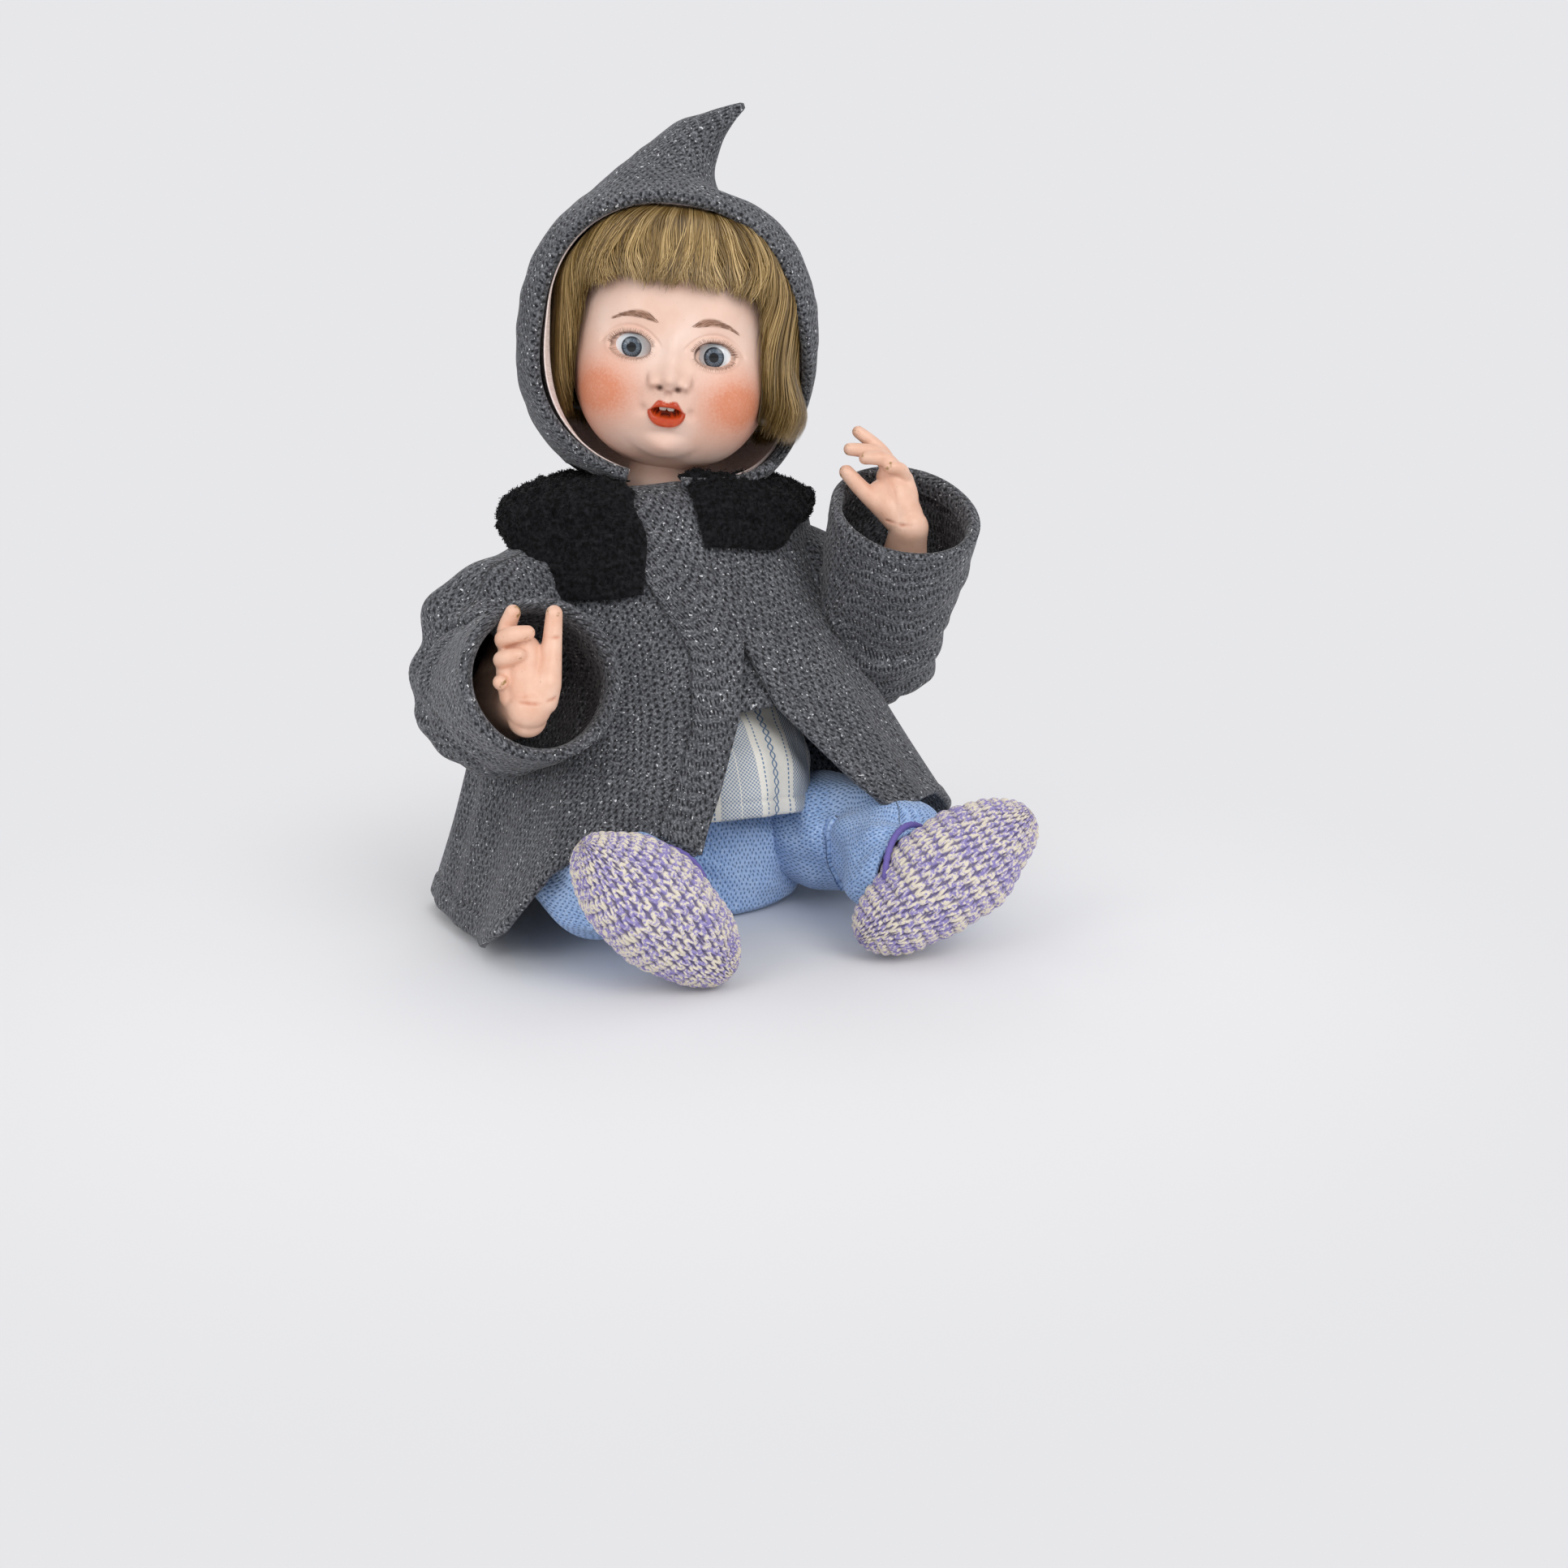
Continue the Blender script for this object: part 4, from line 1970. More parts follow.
@dataclass
class Hood:
    """The knitted hood with its bent point, and the pale lining inside it."""

    half: Triple = (101.0, 96.0, 103.0)
    aside: float = -5.0
    fullness: float = 2.25
    rim_y: float = -47.0
    neck_drop: float = 84.0
    chin_drop: float = 17.0
    nape_drop: float = 5.0
    # On the doll's left the rim lies further back, behind the bob: how far, at which turn, and over which reach
    recess: Triple = (52.0, 2.05, 0.5)
    # Turn and reach of the lining's roll on the doll's right
    roll: tuple[float, float] = (-1.9, 0.8)
    widest: float = 169.0
    draw_in: float = 0.055
    rows: int = 170
    cloth: float = 3.6
    hem: float = 19.0
    hem_lift: float = 2.6
    # The lining's place inside the hood, its rim's place behind the hood's, and its roll on the doll's right
    lining: Triple = (-6.0, 9.0, 8.0)
    # Degrees from the point's axis within which the top is all point, and beyond which it is all hood
    cap: tuple[float, float] = (22.0, 46.0)
    point: tuple = ((-16.0, 14.0, 64.0), (-16.0, 18.0, 128.0), (33.0, 12.0, 162.0))
    point_radius: float = 52.0

    def shell(self, rows: int, columns: int, grow: float, rim: float, pointed: bool, turned_out: float = 0.0) -> Array:
        """The hood as a grid from its front rim to the back of the head.

        Args:
            rows: Steps from rim to back.
            columns: Steps from one side of the neck over the top to the other.
            grow: Distance outside the hood's own surface in mm.
            rim: Place of the front rim along the face axis.
            pointed: Whether the top runs out into the bent point.
            turned_out: How far the rim rolls forward on the doll's right, in mm.

        Returns:
            Places in the doll's frame.
        """
        wide, deep, tall = np.array(self.half) + grow
        s = np.linspace(0, 1, rows)
        front = math.acos(np.clip(rim / deep, -1, 1))
        phi = front - (front - 0.05) * (0.5 * s + 0.5 * s ** 2)
        drop = self.neck_drop + self.chin_drop * smooth(-s, -0.22, -0.02) + self.nape_drop * smooth(s, 0.35, 0.7)
        reach = np.arccos(np.clip(-drop / np.maximum(tall * np.sin(phi), 1e-6), -1, 1))
        reach = np.minimum(reach, math.radians(self.widest))
        u = np.linspace(-1, 1, columns)
        theta = reach[:, None] * (0.5 * u + 0.5 * u ** 3)[None]
        rolled = turned_out * np.exp(-((theta - self.roll[0]) / self.roll[1]) ** 2)
        back, turn, over = self.recess
        drawn = rim + back * np.exp(-((theta[:1] - turn) / over) ** 2) - rolled[:1]
        phi = phi[:, None] * np.arccos(np.clip(drawn / deep, -1, 1)) / front
        way = np.stack([np.sin(phi) * np.sin(theta), np.cos(phi), np.sin(phi) * np.cos(theta)], -1)
        power = self.fullness
        size = ((np.abs(way) / np.array([wide, deep, tall])) ** power).sum(-1) ** (-1 / power)
        places = way * size[..., None]
        # The rim is drawn in on the hair
        snug = 1 - self.draw_in * (1 - smooth(s, 0.0, 0.22)[:, None, None]) * smooth(places[..., 2:], -60, 10)
        places = places * np.concatenate([snug, np.ones_like(snug), snug], -1)
        places = places - unit(places * np.array([1, 0, 1])) * (rolled * smooth(s, 0.0, 0.10)[:, None])[..., None]
        if pointed:
            behind = smooth(places[..., 1], rim + 6, rim + 44)
            places = mix(places, self.draw_point(places), behind[..., None])
        return from_head(places + np.array([self.aside, 0.0, 0.0]))

    def draw_point(self, places: Array) -> Array:
        """Pulls the top of the hood out to its bent point.

        Args:
            places: Places on the round hood.

        Returns:
            The same places with the point drawn out.
        """
        foot, waist, tip = (np.array(p) for p in self.point)
        up = unit(foot)
        lean = np.arccos(np.clip(unit(places) @ up, -1, 1))
        share = np.clip(1 - lean / math.radians(self.cap[1]), 0, 1)
        t = np.clip(0.18 + 0.82 * share ** 0.85, 0, 1)[..., None]
        line = (1 - t) ** 2 * foot + 2 * t * (1 - t) * waist + t ** 2 * tip
        tangent = unit(2 * (1 - t) * (waist - foot) + 2 * t * (tip - waist))
        first = unit(np.array([1.0, 0.0, 0.0]) - tangent * tangent[..., :1])
        second = np.cross(tangent, first)
        flat = unit(places - (places @ up)[..., None] * up)
        spin = np.arctan2(flat @ unit(np.cross(up, [1.0, 0.0, 0.0])), flat[..., 0])[..., None]
        radius = self.point_radius * np.clip(1 - t, 0, 1) ** 1.05 + 0.6
        cone = line + radius * (np.cos(spin) * first + np.sin(spin) * second)
        inside = smooth(-lean, -math.radians(self.cap[1]), -math.radians(self.cap[0]))
        return mix(places, cone, inside[..., None])

    def build(self) -> list[Piece]:
        """Makes the hood and its lining.

        Returns:
            Both pieces.
        """
        surface = self.shell(self.rows, 330, 0.0, self.rim_y, True)
        normals = grid_normals(surface, False)
        outward = 1 if ((surface - from_head(np.zeros(3))) * normals).sum(-1).mean() > 0 else -1
        back = np.linspace(0, 1, self.rows)[:, None]
        slack = smooth(back, 0.06, 0.3) * (1.2 * ripple(surface, 60, 31) + 0.4 * ripple(surface, 21, 8) + 1.0)
        surface = surface + outward * normals * slack[..., None]
        hood = Cloth("hood_knit", surface, self.cloth, outward=outward, hems={"top": self.hem}, hem_lift=self.hem_lift)
        hood = FleckedWool().mount(hood.build(), "head", "hood")
        inside, behind, roll = self.lining
        inner = self.shell(90, 170, inside, self.rim_y + behind, False, roll)
        lining = Cloth("lining_cotton", inner, 1.0, outward=outward).build()
        WovenCotton().mount(lining, "head", "hood_lining")
        return [hood, lining]


@dataclass
class Shirt:
    """The long striped shirt whose front shows between the coat's edges."""

    stations: tuple = ((0.0, 34, 26), (0.09, 60, 45), (0.32, 69, 54), (0.66, 60, 45), (0.9, 52, 39), (1.0, 33, 31))
    height: float = 262.0
    top: float = 240.0
    hem_front: float = 42.0
    hem_back: float = 76.0
    flare: float = 34.0
    cloth: float = 1.6
    hem: float = 11.0
    hem_lift: float = 0.7

    def build(self) -> Piece:
        """Makes the shirt.

        Returns:
            The shirt.
        """
        rows, columns = 150, 260
        angle = np.linspace(-math.pi, math.pi, columns, endpoint=False)[None]
        v = np.linspace(0, 1, rows)[:, None]
        front = smooth(np.cos(angle), 0.05, 0.75)
        heights = mix(self.top, mix(self.hem_back, self.hem_front, front), v)
        share = np.clip(heights / self.height, 0, 1)
        places, widths, depths = np.array(self.stations).T
        grow = 2.9 + 14 * smooth(-heights, -178, -74)
        wide = along(list(zip(places, widths)), share) + grow
        deep = along(list(zip(places, depths)), share) + grow
        low = smooth(-heights, -150, -45)
        folds = low * (1.6 * np.sin(9 * angle + 0.7) + 1.1 * np.sin(17 * angle - 2.0 * v))
        belly = self.flare * front * low
        surface = from_torso(np.stack([(wide + folds) * np.sin(angle), -(deep + folds + belly) * np.cos(angle),
                                       heights + 0 * angle], -1))
        surface = surface + unit(grid_normals(surface, True)) * (0.8 * ripple(surface, 26, 12))[..., None]
        cloth = Cloth("striped_shirt", surface, self.cloth, True, -1, {"bottom": self.hem}, self.hem_lift)
        made = StripedLinen().mount(cloth.build(), "torso", "shirt")
        return made


@dataclass
class Trousers:
    """Lace-knit trousers: the seat on the torso and one leg on each thigh."""

    seat_rings: tuple = ((0.6, 4, 3, 4), (0.2, 40, 32, 4), (0.0, 58, 47, 4), (2.2, 67, 55, 4.5), (7.0, 75, 61.5, 5),
                         (22, 79, 64.5, 7.5), (39.6, 81, 66, 10), (62, 80, 65, 15), (88, 77, 62, 20))
    stations: tuple = ((0.0, 32.0), (0.3, 41.5), (0.6, 37.5), (0.8, 35.0), (1.0, 30.0))
    knees: dict = field(default_factory=lambda: {Side.RIGHT: (-104, -80, 54), Side.LEFT: (104, -80, 54)})
    ankles: dict = field(default_factory=lambda: {Side.RIGHT: (-78, -132, 50), Side.LEFT: (84, -146, 47)})
    feet: dict = field(default_factory=lambda: {Side.RIGHT: (-86, -161, 52), Side.LEFT: (100, -173, 52)})
    cloth: float = 2.4
    # How far a leg's end reaches into its bootie
    tucked: float = 24.0
    # How far along the thigh a leg starts to follow the doll's leg, and where it follows it fully
    hip_reach: tuple[float, float] = (8.0, 46.0)

    def build(self) -> list[Piece]:
        """Makes the seat and both legs.

        Returns:
            The three pieces.
        """
        return [self.seat(), *(self.leg(side) for side in Side)]

    def seat(self) -> Piece:
        """Makes the seat, flat where the doll sits on it.

        Returns:
            The seat.
        """
        rows, columns = 110, 300
        angle = np.linspace(math.pi, 3 * math.pi, columns, endpoint=False)[None]
        rings = np.array(self.seat_rings)
        reach = np.concatenate([[0], np.cumsum(np.linalg.norm(np.diff(rings[:, :2], axis=0), axis=1))])
        wanted = np.linspace(0, reach[-1], rows)
        z, wide, deep, y = [np.interp(wanted, reach, rings[:, k])[:, None] for k in range(4)]
        surface = np.stack([wide * np.sin(angle), y - deep * np.cos(angle), z + 0 * angle], -1)
        normals = grid_normals(surface, True)
        outward = 1 if (normals[60] * (surface[60] - surface[60].mean(0))).sum() > 0 else -1
        drawn = np.sin(surface @ np.array([0.10, 0.0, 0.20]) + 1.5 * ripple(surface, 70, 23))
        ruck = smooth(z, 4, 20) * (1.5 * ripple(surface, 34, 17) + 2.0 * np.maximum(drawn, -0.3) + 0.3)
        surface = surface + outward * normals * ruck[..., None]
        made = Cloth("trouser_seat_knit", surface, self.cloth, True, outward=outward).build()
        LaceKnit().mount(made, "torso", "trousers_seat")
        return made

    def leg(self, side: Side) -> Piece:
        """Makes one trouser leg, rumpled round the bent knee.

        Args:
            side: Which of the legs.

        Returns:
            The leg.
        """
        rows, columns, fine = 150, 200, 220
        hip = hip_of(side)
        knee, ankle = np.array(self.knees[side], float), np.array(self.ankles[side], float)
        into = ankle + self.tucked * unit(np.array(self.feet[side]) - ankle)
        bend = mix(knee, (hip + ankle) / 2, 0.1)
        path = spline(np.array([hip, mix(hip, knee, 0.6), bend, mix(knee, ankle, 0.55), ankle, into]), fine)
        # The first tenth lies inside the seat
        path = spline(path[fine // 10::20], rows)
        t = np.linspace(0.1, 1, rows)
        _, first, second = carried_frames(path, (0, 0, 1))
        out = spokes(circle(columns), first, second)
        radius = along(self.stations, t)[:, None]
        surface = path[:, None] + out * radius[..., None]
        slant = np.array([1.0, 0.55 * side.value, 0.9])
        crease = 2.4 * np.sin(surface @ slant / 8.5 + 1.4 * ripple(surface, 60, 41))
        crumple = crease * smooth(t, 0.2, 0.45)[:, None] + 1.8 * ripple(surface, 30, 19 + side.value)
        crumple = crumple * smooth(1 - t, 0.0, 0.12)[:, None] * smooth(surface[..., 2], 4, 20)
        surface = surface + out * crumple[..., None]
        surface[..., 2] = np.maximum(surface[..., 2], 1.2 + 0.4 * ripple(surface, 9, 2))
        normals = grid_normals(surface, True)
        outward = 1 if (normals * out).sum() > 0 else -1
        made = Cloth("trouser_knit_" + side.word, surface, self.cloth, True, outward=outward).build()
        LaceKnit().dress(made)
        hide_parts("trouser_leg_" + side.word)
        blend_over(made, "leg_" + side.word, *(hip + unit(knee - hip) * reach for reach in self.hip_reach))
        return made


@dataclass
class Bootie:
    """A crocheted bootie, worked in rounds from the heel to the toe."""

    side: Side
    heel: Triple
    toe: Triple
    ankle: Triple
    heel_radius: float = 28.5
    broad: tuple[float, float] = (0.62, 33.0)
    toe_radius: float = 27.0
    stitches: int = 36
    rounds: int = 21
    relief: float = 2.6
    # The ankle cord's place on the bootie's side, its ring's radius, its own radius and the height of its beads
    cord: tuple[float, float, float, float] = (24.0, 32.0, 1.7, 0.5)

    def build(self) -> Piece:
        """Makes the bootie with each stitch raised.

        Returns:
            The bootie.
        """
        heel, toe = np.array(self.heel, float), np.array(self.toe, float)
        axis = unit(toe - heel)
        ahead = np.array([0.0, -1.0, 0.15])
        first = unit(ahead - axis * (axis @ ahead))
        second = np.cross(axis, first)
        length = np.linalg.norm(toe - heel)
        rows, columns = self.rounds * 10, self.stitches * 9
        arc = np.linspace(0.012, 0.988, rows)
        # An egg drawn by its turning angle: the heel's cap, the broad middle and the toe's cap
        turn = math.pi * arc
        span = self.heel_radius + length + self.toe_radius
        place = -self.heel_radius + span * (0.5 - 0.5 * np.cos(turn))
        share = (place + self.heel_radius) / span
        girth = along([(0, self.heel_radius), self.broad, (1, self.toe_radius + 2)], share)
        radius = np.sin(turn) ** 0.86 * girth
        spin = circle(columns)
        out = np.cos(spin)[None, :, None] * first + np.sin(spin)[None, :, None] * second
        surface = heel + axis * place[:, None, None] + out * radius[:, None, None]
        surface = surface + out * (1.2 * ripple(surface, 40, 51 + self.side.value))[..., None]
        normals = grid_normals(surface, True)
        normals = normals * np.sign((normals * (surface - (heel + toe) / 2)).sum())
        height, gap, tone = self.stitch(arc, spin)
        surface = surface + normals * (self.relief * height - 0.6)[..., None]
        surface[..., 2] = np.maximum(surface[..., 2], 0.4)
        count = rows * columns
        points = np.concatenate([surface.reshape(-1, 3), surface[:1].mean(1), surface[-1:].mean(1)])
        ring = np.arange(columns)
        last = ring + (rows - 1) * columns
        caps = [np.stack([ring, np.roll(ring, -1), np.full(columns, count)], -1),
                np.stack([np.roll(last, -1), last, np.full(columns, count + 1)], -1)]
        faces = grid_faces(rows, columns, True).tolist() + np.concatenate(caps).tolist()
        values = {"tone": np.append(tone.ravel(), [0.5, 0.5]), "hole": np.append(gap.ravel(), [0.5, 0.5]),
                  "rim": np.zeros(count + 2)}
        body = mesh_object("bootie_body", points, faces, values)
        made = merge("crochet_bootie_" + self.side.word, [body, self.edging()])
        recalculate(made)
        CrochetYarn().mount(made, "leg_" + self.side.word, "bootie_" + self.side.word)
        return made

    def stitch(self, arc: Array, spin: Array) -> tuple[Array, Array, Array]:
        """The stitches' relief.

        Args:
            arc: Share of the way from heel to toe, by row.
            spin: Turn round the bootie, by column.

        Returns:
            Height, gap and yarn tone, each from 0 to 1.
        """
        rounds = arc[:, None] * self.rounds + spin[None] / (2 * math.pi)
        level = np.floor(rounds)
        b = rounds - level
        a = spin[None] / (2 * math.pi) * self.stitches + 0.35 * level
        column = np.floor(a)
        a = a - column
        lean = 0.10 + 0.30 * b
        near = np.minimum(np.abs(a - (0.5 - lean)), np.abs(a - (0.5 + lean)))
        strand = np.sqrt(np.clip(1 - (near / 0.24) ** 2, 0, 1))
        swell = np.sin(math.pi * np.clip(b * 1.02, 0, 1)) ** 0.55
        height = strand * (0.35 + 0.65 * swell)
        # A number for each stitch that looks picked at random
        pick = np.sin(column * 12.9898 + level * 78.233) * 43758.5453
        tone = pick - np.floor(pick)
        tone = np.clip(0.62 * tone + 0.28 * (level % 3 == 0) + 0.1 * (a > 0.5), 0, 1)
        return height, 1 - height, tone

    def edging(self) -> Piece:
        """Makes the violet cord round the ankle opening.

        Returns:
            The cord, to be joined to the bootie.
        """
        ankle = np.array(self.ankle, float)
        middle = (np.array(self.heel) + np.array(self.toe)) / 2
        back = unit(ankle - middle)
        first = unit(np.cross(back, [0.0, 0.0, 1.0]))
        second = np.cross(back, first)
        columns, rows = 160, 12
        spin, turn = circle(columns), circle(rows)
        out = np.cos(spin)[:, None] * first + np.sin(spin)[:, None] * second
        place, reach, radius, bead = self.cord
        ring = middle + back * place + out * reach
        thick = (radius + bead * np.abs(np.sin(spin * 19)))[None, :, None]
        points = ring[None] + thick * (np.cos(turn)[:, None, None] * out[None] + np.sin(turn)[:, None, None] * back)
        points[..., 2] = np.maximum(points[..., 2], 0.5)
        faces = grid_faces(rows + 1, columns, True) % (rows * columns)
        ones = np.ones(rows * columns)
        return mesh_object("edging", points.reshape(-1, 3), faces, {"tone": ones * 0.5, "hole": ones * 0, "rim": ones})


# Directions as the camera sees the doll: to the right, up and towards the viewer
SEEN = np.array([[0.9135, -0.4067, 0.0], [0.0936, 0.2102, 0.9732], [-0.3958, -0.8891, 0.2300]])


@dataclass
class Finger:
    """One finger or a swelling of the palm, as a rounded rod of places and radii in mm."""

    places: tuple
    radii: tuple
    nail: bool = False


@dataclass
class Arm:
    """A composition arm with its modelled hand, from the shoulder ball to the fingertips."""

    side: Side
    elbow: Triple
    wrist: Triple
    fingers: tuple[Finger, ...]
    creases: tuple
    ball: float = 24.0
    stations: tuple = ((0.0, 20.0), (0.25, 23.0), (0.5, 20.0), (0.7, 20.5), (1.0, 13.0))
    voxel: float = 0.95
    crease_depth: float = 0.9
    nail_rise: float = 0.35

    def world(self, places: Array) -> Array:
        """Takes places given across, up and towards the viewer from the wrist to the doll's frame."""
        return np.asarray(places, float) @ SEEN + np.array(self.wrist)

    def rod(self, path: Array, radii: Array) -> tuple[Array, Array]:
        """A closed rounded rod along a path.

        Args:
            path: Places along it.
            radii: Radius at each place.

        Returns:
            Vertices and faces.
        """
        steps, sides, rings = 40, 28, 9
        line = spline(path, steps)
        reach = np.linspace(0, 1, steps)
        radius = np.interp(reach, np.linspace(0, 1, len(radii)), radii)
        tangents, first, second = carried_frames(line, (0.31, 0.22, 0.93))
        cap = np.linspace(0.04, 1, rings) * math.pi / 2
        line = np.vstack([line[0] - tangents[0] * (radius[0] * np.cos(cap))[:, None], line,
                          line[-1] + tangents[-1] * (radius[-1] * np.cos(cap[::-1]))[:, None]])
        radius = np.concatenate([radius[0] * np.sin(cap), radius, radius[-1] * np.sin(cap[::-1])])
        first, second = (np.pad(cross, ((rings, rings), (0, 0)), "edge") for cross in (first, second))
        ring = spokes(circle(sides), first, second)
        points = (line[:, None] + ring * radius[:, None, None]).reshape(-1, 3)
        count = len(line)
        faces = grid_faces(count, sides, True).tolist()
        faces.append(list(range(sides))[::-1])
        faces.append([(count - 1) * sides + i for i in range(sides)])
        return points, faces

    def build(self) -> Piece:
        """Makes the arm in one body and marks its creases and worn tips.

        Returns:
            The arm.
        """
        shoulder, elbow, hand = shoulder_of(self.side), np.array(self.elbow), self.world(np.zeros(3))
        limb = spline(np.array([shoulder, mix(shoulder, elbow, 0.8), mix(elbow, hand, 0.25), hand]), 40)
        # The ball is a rod of almost no length
        core = shoulder + np.array([[0.0, 0.0, 0.0], [0.0, 0.0, -0.5], [0.0, 0.0, -1.0]])
        rods = [self.rod(limb, along(self.stations, np.linspace(0, 1, 40))), self.rod(core, np.full(3, self.ball))]
        rods += [self.rod(self.world(f.places), np.array(f.radii)) for f in self.fingers]
        parts = [mesh_object(f"rod_{i}", points, faces) for i, (points, faces) in enumerate(rods)]
        made = merge("composition_arm_" + self.side.word, parts)
        recalculate(made)
        blend = made.modifiers.new("join", "REMESH")
        blend.mode, blend.voxel_size, blend.use_smooth_shade = "VOXEL", self.voxel * MM, True
        soften = made.modifiers.new("soften", "SMOOTH")
        soften.factor, soften.iterations = 0.5, 5
        settle(made)
        self.mark(made)
        return PaintedComposition().mount(made, "arm_" + self.side.word, "arm_" + self.side.word)

    def mark(self, made: Piece) -> None:
        """Presses the creases in and keeps crease and wear as values for the finish.

        Args:
            made: The arm in one body.
        """
        count = len(made.data.vertices)
        flat = np.zeros(count * 3)
        made.data.vertices.foreach_get("co", flat)
        points = flat.reshape(-1, 3) / MM
        normal = np.zeros(count * 3)
        made.data.vertices.foreach_get("normal", normal)
        crease = np.zeros(count)
        for line in self.creases:
            path = self.world(spline(np.array(line, float), 30))
            gap = np.sqrt(((points[:, None] - path[None]) ** 2).sum(-1).min(1))
            crease = np.maximum(crease, np.exp(-(gap / 1.0) ** 2))
        worn = np.zeros(count)
        nail = np.zeros(count)
        for finger in self.fingers:
            tip = self.world(np.array(finger.places[-1]))
            gap = np.linalg.norm(points - tip, axis=1)
            if finger.nail:
                near = np.exp(-(gap / (finger.radii[-1] * 1.25)) ** 4)
                worn = np.maximum(worn, near * (0.55 + 0.5 * ripple(points, 4, 61)))
                bed = tip + self.world(np.array([0.0, 0.0, finger.radii[-1]])) - self.world(np.zeros(3))
                nail = np.maximum(nail, np.exp(-(np.linalg.norm(points - bed, axis=1) / 3.0) ** 6))
        points = points - normal.reshape(-1, 3) * (self.crease_depth * crease - self.nail_rise * nail)[:, None]
        made.data.vertices.foreach_set("co", np.ascontiguousarray(points * MM).ravel())
        made.data.update()
        keep_value(made.data, "crease", np.clip(crease, 0, 1))
        keep_value(made.data, "worn", np.clip(worn, 0, 1))


RIGHT_HAND = (
    Finger(((-2.0, -6.0, -6.0), (-1.5, 8.0, -1.0), (-1.5, 20.0, 0.0), (-2.0, 33.0, -1.0)), (11.5, 12.0, 11.5, 9.0)),
    Finger(((-9.5, 6.0, 0.0), (-11.0, 20.0, 0.0), (-11.5, 33.0, -1.0)), (7.5, 8.0, 6.5)),
    Finger(((8.5, 4.0, 0.0), (11.0, 15.0, 2.0), (12.0, 24.0, 1.0)), (8.5, 8.5, 7.0)),
    Finger(((12.0, 18.0, 1.0), (13.5, 36.0, 1.0), (15.0, 54.0, 2.0)), (7.2, 5.9, 4.9), True),
    Finger(((-12.0, 33.0, -1.0), (-13.0, 44.0, 0.0), (-8.6, 54.5, 3.0)), (5.6, 5.4, 4.6), True),
    Finger(((-13.5, 37.0, 0.0), (-13.0, 39.0, 7.0), (-6.0, 41.0, 11.0), (1.0, 42.0, 10.0)), (5.4, 5.2, 5.0, 4.4), True),
    Finger(((-14.5, 26.0, 0.0), (-14.0, 27.0, 8.0), (-8.8, 28.0, 12.0), (-3.8, 29.2, 11.0)), (5.2, 5.0, 4.8, 4.3),
           True),
    Finger(((-14.5, 14.0, 0.0), (-15.0, 14.0, 6.0), (-14.2, 13.6, 11.0)), (4.8, 4.7, 4.4), True),
)
LEFT_HAND = (
    Finger(((1.0, -5.0, -5.0), (-3.0, 8.0, -1.0), (-9.0, 21.0, 0.0), (-12.5, 34.0, -1.0)), (11.5, 12.5, 12.5, 9.5)),
    Finger(((-4.0, 6.0, 0.0), (-2.0, 20.0, 0.0), (-4.0, 32.0, 0.0)), (8.0, 8.5, 7.0)),
    Finger(((-9.0, 5.0, 2.0), (-16.0, 14.0, 4.0), (-20.0, 24.0, 2.0)), (8.5, 9.0, 7.5)),
    Finger(((-17.0, 12.0, 4.0), (-31.0, 24.0, 6.0), (-42.0, 36.0, 6.0)), (7.4, 5.8, 4.9), True),
    Finger(((-10.5, 36.0, -1.0), (-17.0, 49.0, -1.0), (-26.0, 57.5, 1.0), (-34.0, 63.5, 2.0)), (5.8, 5.3, 4.8, 4.1),
           True),
    Finger(((-12.0, 37.0, 3.0), (-21.0, 47.5, 7.0), (-31.0, 49.5, 9.0), (-39.8, 50.4, 9.0)), (5.8, 5.2, 4.8, 4.3),
           True),
    Finger(((-8.0, 36.0, 4.0), (-15.0, 42.5, 11.0), (-23.5, 43.5, 14.0), (-30.0, 43.6, 13.0)), (5.4, 5.0, 4.7, 4.2),
           True),
    Finger(((-3.0, 31.0, 2.0), (-5.5, 36.0, 9.0), (-10.0, 37.5, 13.0), (-14.4, 37.2, 13.5)), (5.0, 4.7, 4.4, 4.0),
           True),
)
RIGHT_CREASES = (((-16.0, 9.0, 9.0), (-4.0, 3.0, 13.0), (8.0, 1.5, 11.0), (17.0, 5.0, 5.0)),
                 ((3.0, 36.0, 8.0), (4.0, 24.0, 12.0), (1.5, 13.0, 13.5), (0.0, 6.0, 12.5)),
                 ((9.0, 41.0, 7.0), (13.5, 39.5, 8.0), (19.0, 40.0, 5.0)))
LEFT_CREASES = (((-16.0, 3.0, 9.0), (-6.0, 0.0, 11.5), (3.0, 0.0, 11.0), (10.0, 3.0, 5.0)),
                ((-19.0, 36.0, 8.0), (-12.0, 27.0, 12.0), (-9.5, 16.0, 13.5), (-9.0, 6.0, 12.5)),
                ((-16.0, 33.0, 10.0), (-8.0, 30.0, 13.0), (-1.0, 25.0, 11.0)))


@dataclass
class Frame:
    """The doll's inner pieces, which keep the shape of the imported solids."""

    nodes: dict

    def dress(self, finishes: dict[Finish, tuple[str, ...]]) -> list[str]:
        """Gives each shown solid the material it is made from.

        Args:
            finishes: Node names by finish.

        Returns:
            The names that were dressed.
        """
        done = []
        for finish, names in finishes.items():
            for name in names:
                finish.dress(self.nodes[name])
                done.append(name)
        return done


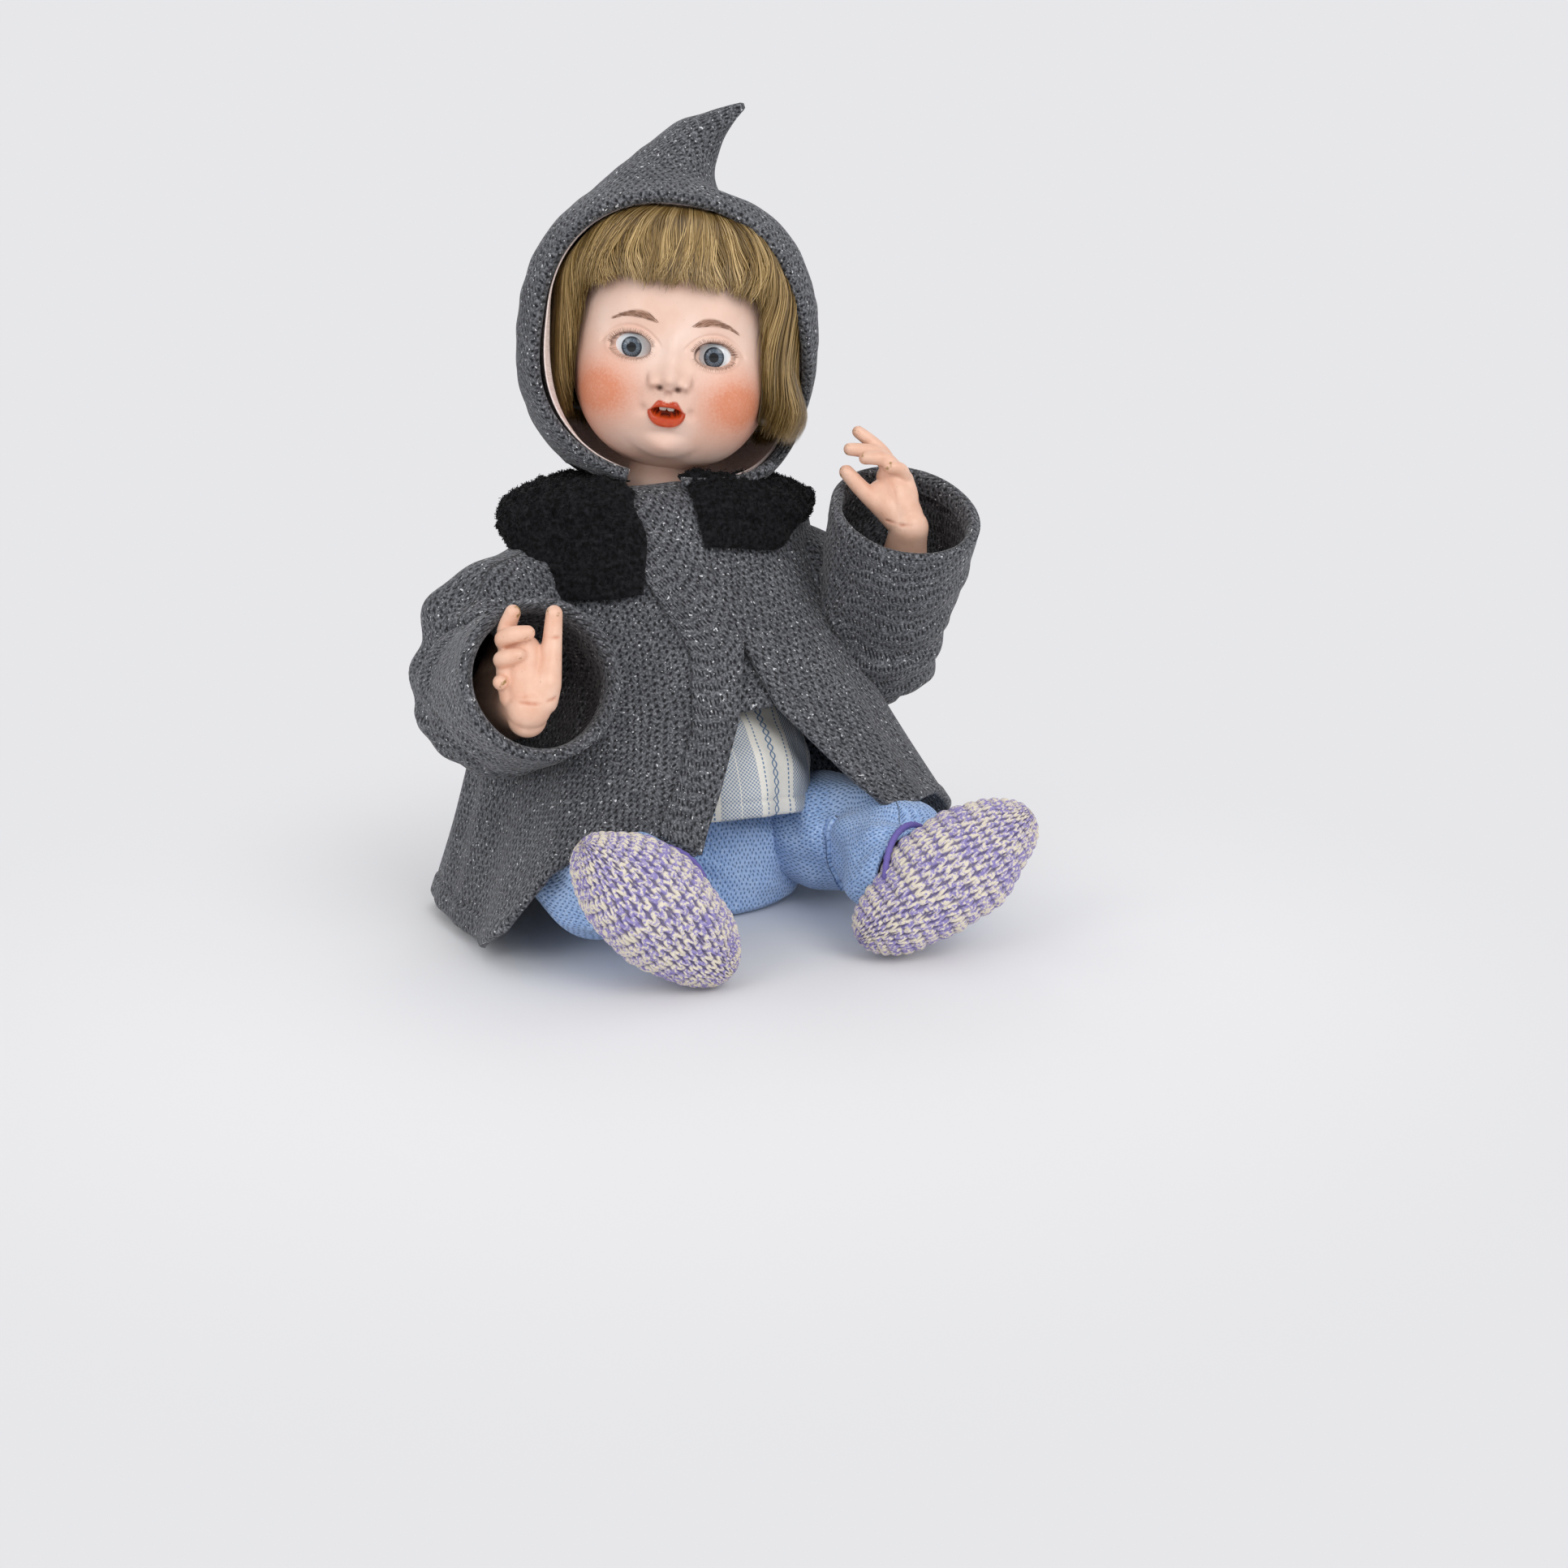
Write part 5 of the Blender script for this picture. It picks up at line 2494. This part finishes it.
@dataclass
class Studio:
    """Camera, pale floor and soft lamps."""

    camera_at: tuple[float, float, float] = (-0.357, -0.952, 0.323)
    yaw: float = 24.0
    pitch: float = 13.3
    lens: float = 34.5
    floor_radius: float = 6000.0
    paper_colour: str = "#F1F1F2"
    backdrop: str = "#E7E7EA"
    fill: float = 0.85
    # Where the floor's shadows start to fade into the backdrop, and where they are gone, in metres
    fade: tuple[float, float] = (0.16, 0.62)
    aim: Triple = (0.0, 0.0, 0.25)
    # Each lamp's name, place and side in metres, and power in watts
    lamps: tuple = (("window_lamp", (0.35, -1.8, 1.25), 1.1, 15.0), ("side_lamp", (-1.4, -0.9, 0.9), 0.8, 6.0),
                    ("back_lamp", (0.3, 1.4, 1.6), 1.2, 6.0))

    def build(self) -> None:
        """Places the camera, the floor and the lamps."""
        scene = bpy.context.scene
        scene.view_settings.view_transform = "Standard"
        data = bpy.data.cameras.new("photo_camera")
        data.lens = self.lens
        data.sensor_width = 36.0
        camera = bpy.data.objects.new("photo_camera", data)
        camera.location = self.camera_at
        camera.rotation_euler = (math.radians(90 - self.pitch), 0.0, math.radians(-self.yaw))
        scene.collection.objects.link(camera)
        scene.camera = camera
        turn = circle(96)
        ring = np.stack([np.cos(turn), np.sin(turn), 0 * turn], -1) * self.floor_radius
        floor = mesh_object("studio_floor", ring, [list(range(len(turn)))])
        self.paper(floor)
        self.light_world(scene)
        for lamp in self.lamps:
            self.lamp(*lamp)

    def paper(self, floor: Piece) -> None:
        """Gives the floor its seamless paper: it takes shadows near the doll and fades into the backdrop.

        Args:
            floor: The floor's disc.
        """
        material = bpy.data.materials.new("studio_paper")
        material.use_nodes = True
        tree = material.node_tree
        sheet = tree.nodes["Principled BSDF"]
        feed(tree, sheet, {"Base Color": linear(self.paper_colour), "Roughness": 0.9, "Specular IOR Level": 0.1})
        away = add_node(tree, "VectorMath", {0: add_node(tree, "TexCoord", out="Object")}, "Value", operation="LENGTH")
        fade = add_node(tree, "MapRange", {0: away, 1: self.fade[0], 2: self.fade[1]}, **EASED)
        camera_ray = add_node(tree, "LightPath", out="Is Camera Ray")
        seen = add_node(tree, "Math", {0: camera_ray, 1: fade}, operation="MULTIPLY")
        glow = add_node(tree, "Emission", {"Color": linear(self.backdrop), "Strength": 1.0})
        blend = add_node(tree, "MixShader", {0: seen, 1: sheet.outputs[0], 2: glow})
        feed(tree, tree.nodes["Material Output"], {"Surface": blend})
        floor.data.materials.append(material)

    def light_world(self, scene: bpy.types.Scene) -> None:
        """Fills the room with an even light and shows a pale backdrop behind it.

        Args:
            scene: The scene to light.
        """
        world = bpy.data.worlds.new("studio_air")
        world.use_nodes = True
        scene.world = world
        tree = world.node_tree
        seen = add_node(tree, "LightPath", out="Is Camera Ray")
        for ray in ("Is Glossy Ray", "Is Transmission Ray"):
            seen = add_node(tree, "Math", {0: seen, 1: add_node(tree, "LightPath", out=ray)}, operation="MAXIMUM")
        strength = add_node(tree, "MapRange", {"Value": seen, "To Min": self.fill, "To Max": 1.0})
        feed(tree, tree.nodes["Background"], {"Color": linear(self.backdrop), "Strength": strength})

    def lamp(self, name: str, at: Triple, size: float, power: float) -> None:
        """Hangs a soft square lamp that faces the doll.

        Args:
            name: The lamp's name.
            at: Its place in metres.
            size: Its side in metres.
            power: Its power in watts.
        """
        data = bpy.data.lights.new(name, "AREA")
        data.shape, data.size, data.energy = "SQUARE", size, power
        made = bpy.data.objects.new(name, data)
        made.location = at
        aim = Vector(self.aim) - Vector(at)
        made.rotation_euler = aim.to_track_quat("-Z", "Y").to_euler()
        bpy.context.scene.collection.objects.link(made)


def main() -> None:
    """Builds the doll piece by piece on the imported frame."""
    logging.basicConfig(level=logging.INFO)
    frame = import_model()
    Studio().build()
    inner = Frame(frame["nodes"]).dress({
        BODY_PAINT: ("torso_front", "torso_back", "leg_left", "leg_right"),
        BEECH: ("neck_button", "arm_plug_left", "arm_plug_right", "leg_plug_left", "leg_plug_right"),
        IRON_WIRE: ("neck_hook", "arm_hook_left", "arm_hook_right", "leg_hook_left", "leg_hook_right", "eye_rocker"),
        PLASTER: ("eye_pivot_left", "eye_pivot_right"),
        LEAD: ("eye_weight",),
        CORK: ("weight_stop",),
        ELASTIC: ("neck_elastic", "arm_elastic", "leg_elastic"),
        CARD: ("pate",),
    })
    LOG.info("inner pieces: %d", len(inner))
    head = Head()
    for maker in (head.build, Eyes().build, lambda: Mouth().build(head), lambda: Wig().build(head)):
        LOG.info("head: %s", maker())
    arms = (Arm(Side.RIGHT, (-138, 8, 148), (-144.2, -112.0, 166.6), RIGHT_HAND, RIGHT_CREASES),
            Arm(Side.LEFT, (146, -2, 172), (130.3, -62.0, 258.8), LEFT_HAND, LEFT_CREASES))
    for arm in arms:
        LOG.info("arm: %s", arm.build().name)
    sleeves = {Side.RIGHT: Sleeve(Side.RIGHT, (-138, 2, 152), (-133, -102, 181), (30.0, 43.0, 45.0), heave=22.0),
               Side.LEFT: Sleeve(Side.LEFT, (139, 5, 171), (127, -63, 269), heave=8.0)}
    coat = Coat()
    for piece in coat.build(sleeves):
        LOG.info("coat: %s", piece.name)
    for sleeve in sleeves.values():
        LOG.info("sleeve: %s", [piece.name for piece in sleeve.build()])
    for piece in (*Collar(coat).build(), *Hood().build(), Shirt().build(), *Trousers().build()):
        LOG.info("clothes: %s", piece.name)
    booties = (Bootie(Side.RIGHT, (-64, -165, 30), (-108, -158, 74), (-78, -132, 50)),
               Bootie(Side.LEFT, (70, -166, 30), (130, -180, 74), (84, -146, 47)))
    for bootie in booties:
        LOG.info("bootie: %s", bootie.build().name)


if __name__ == "__main__":
    main()
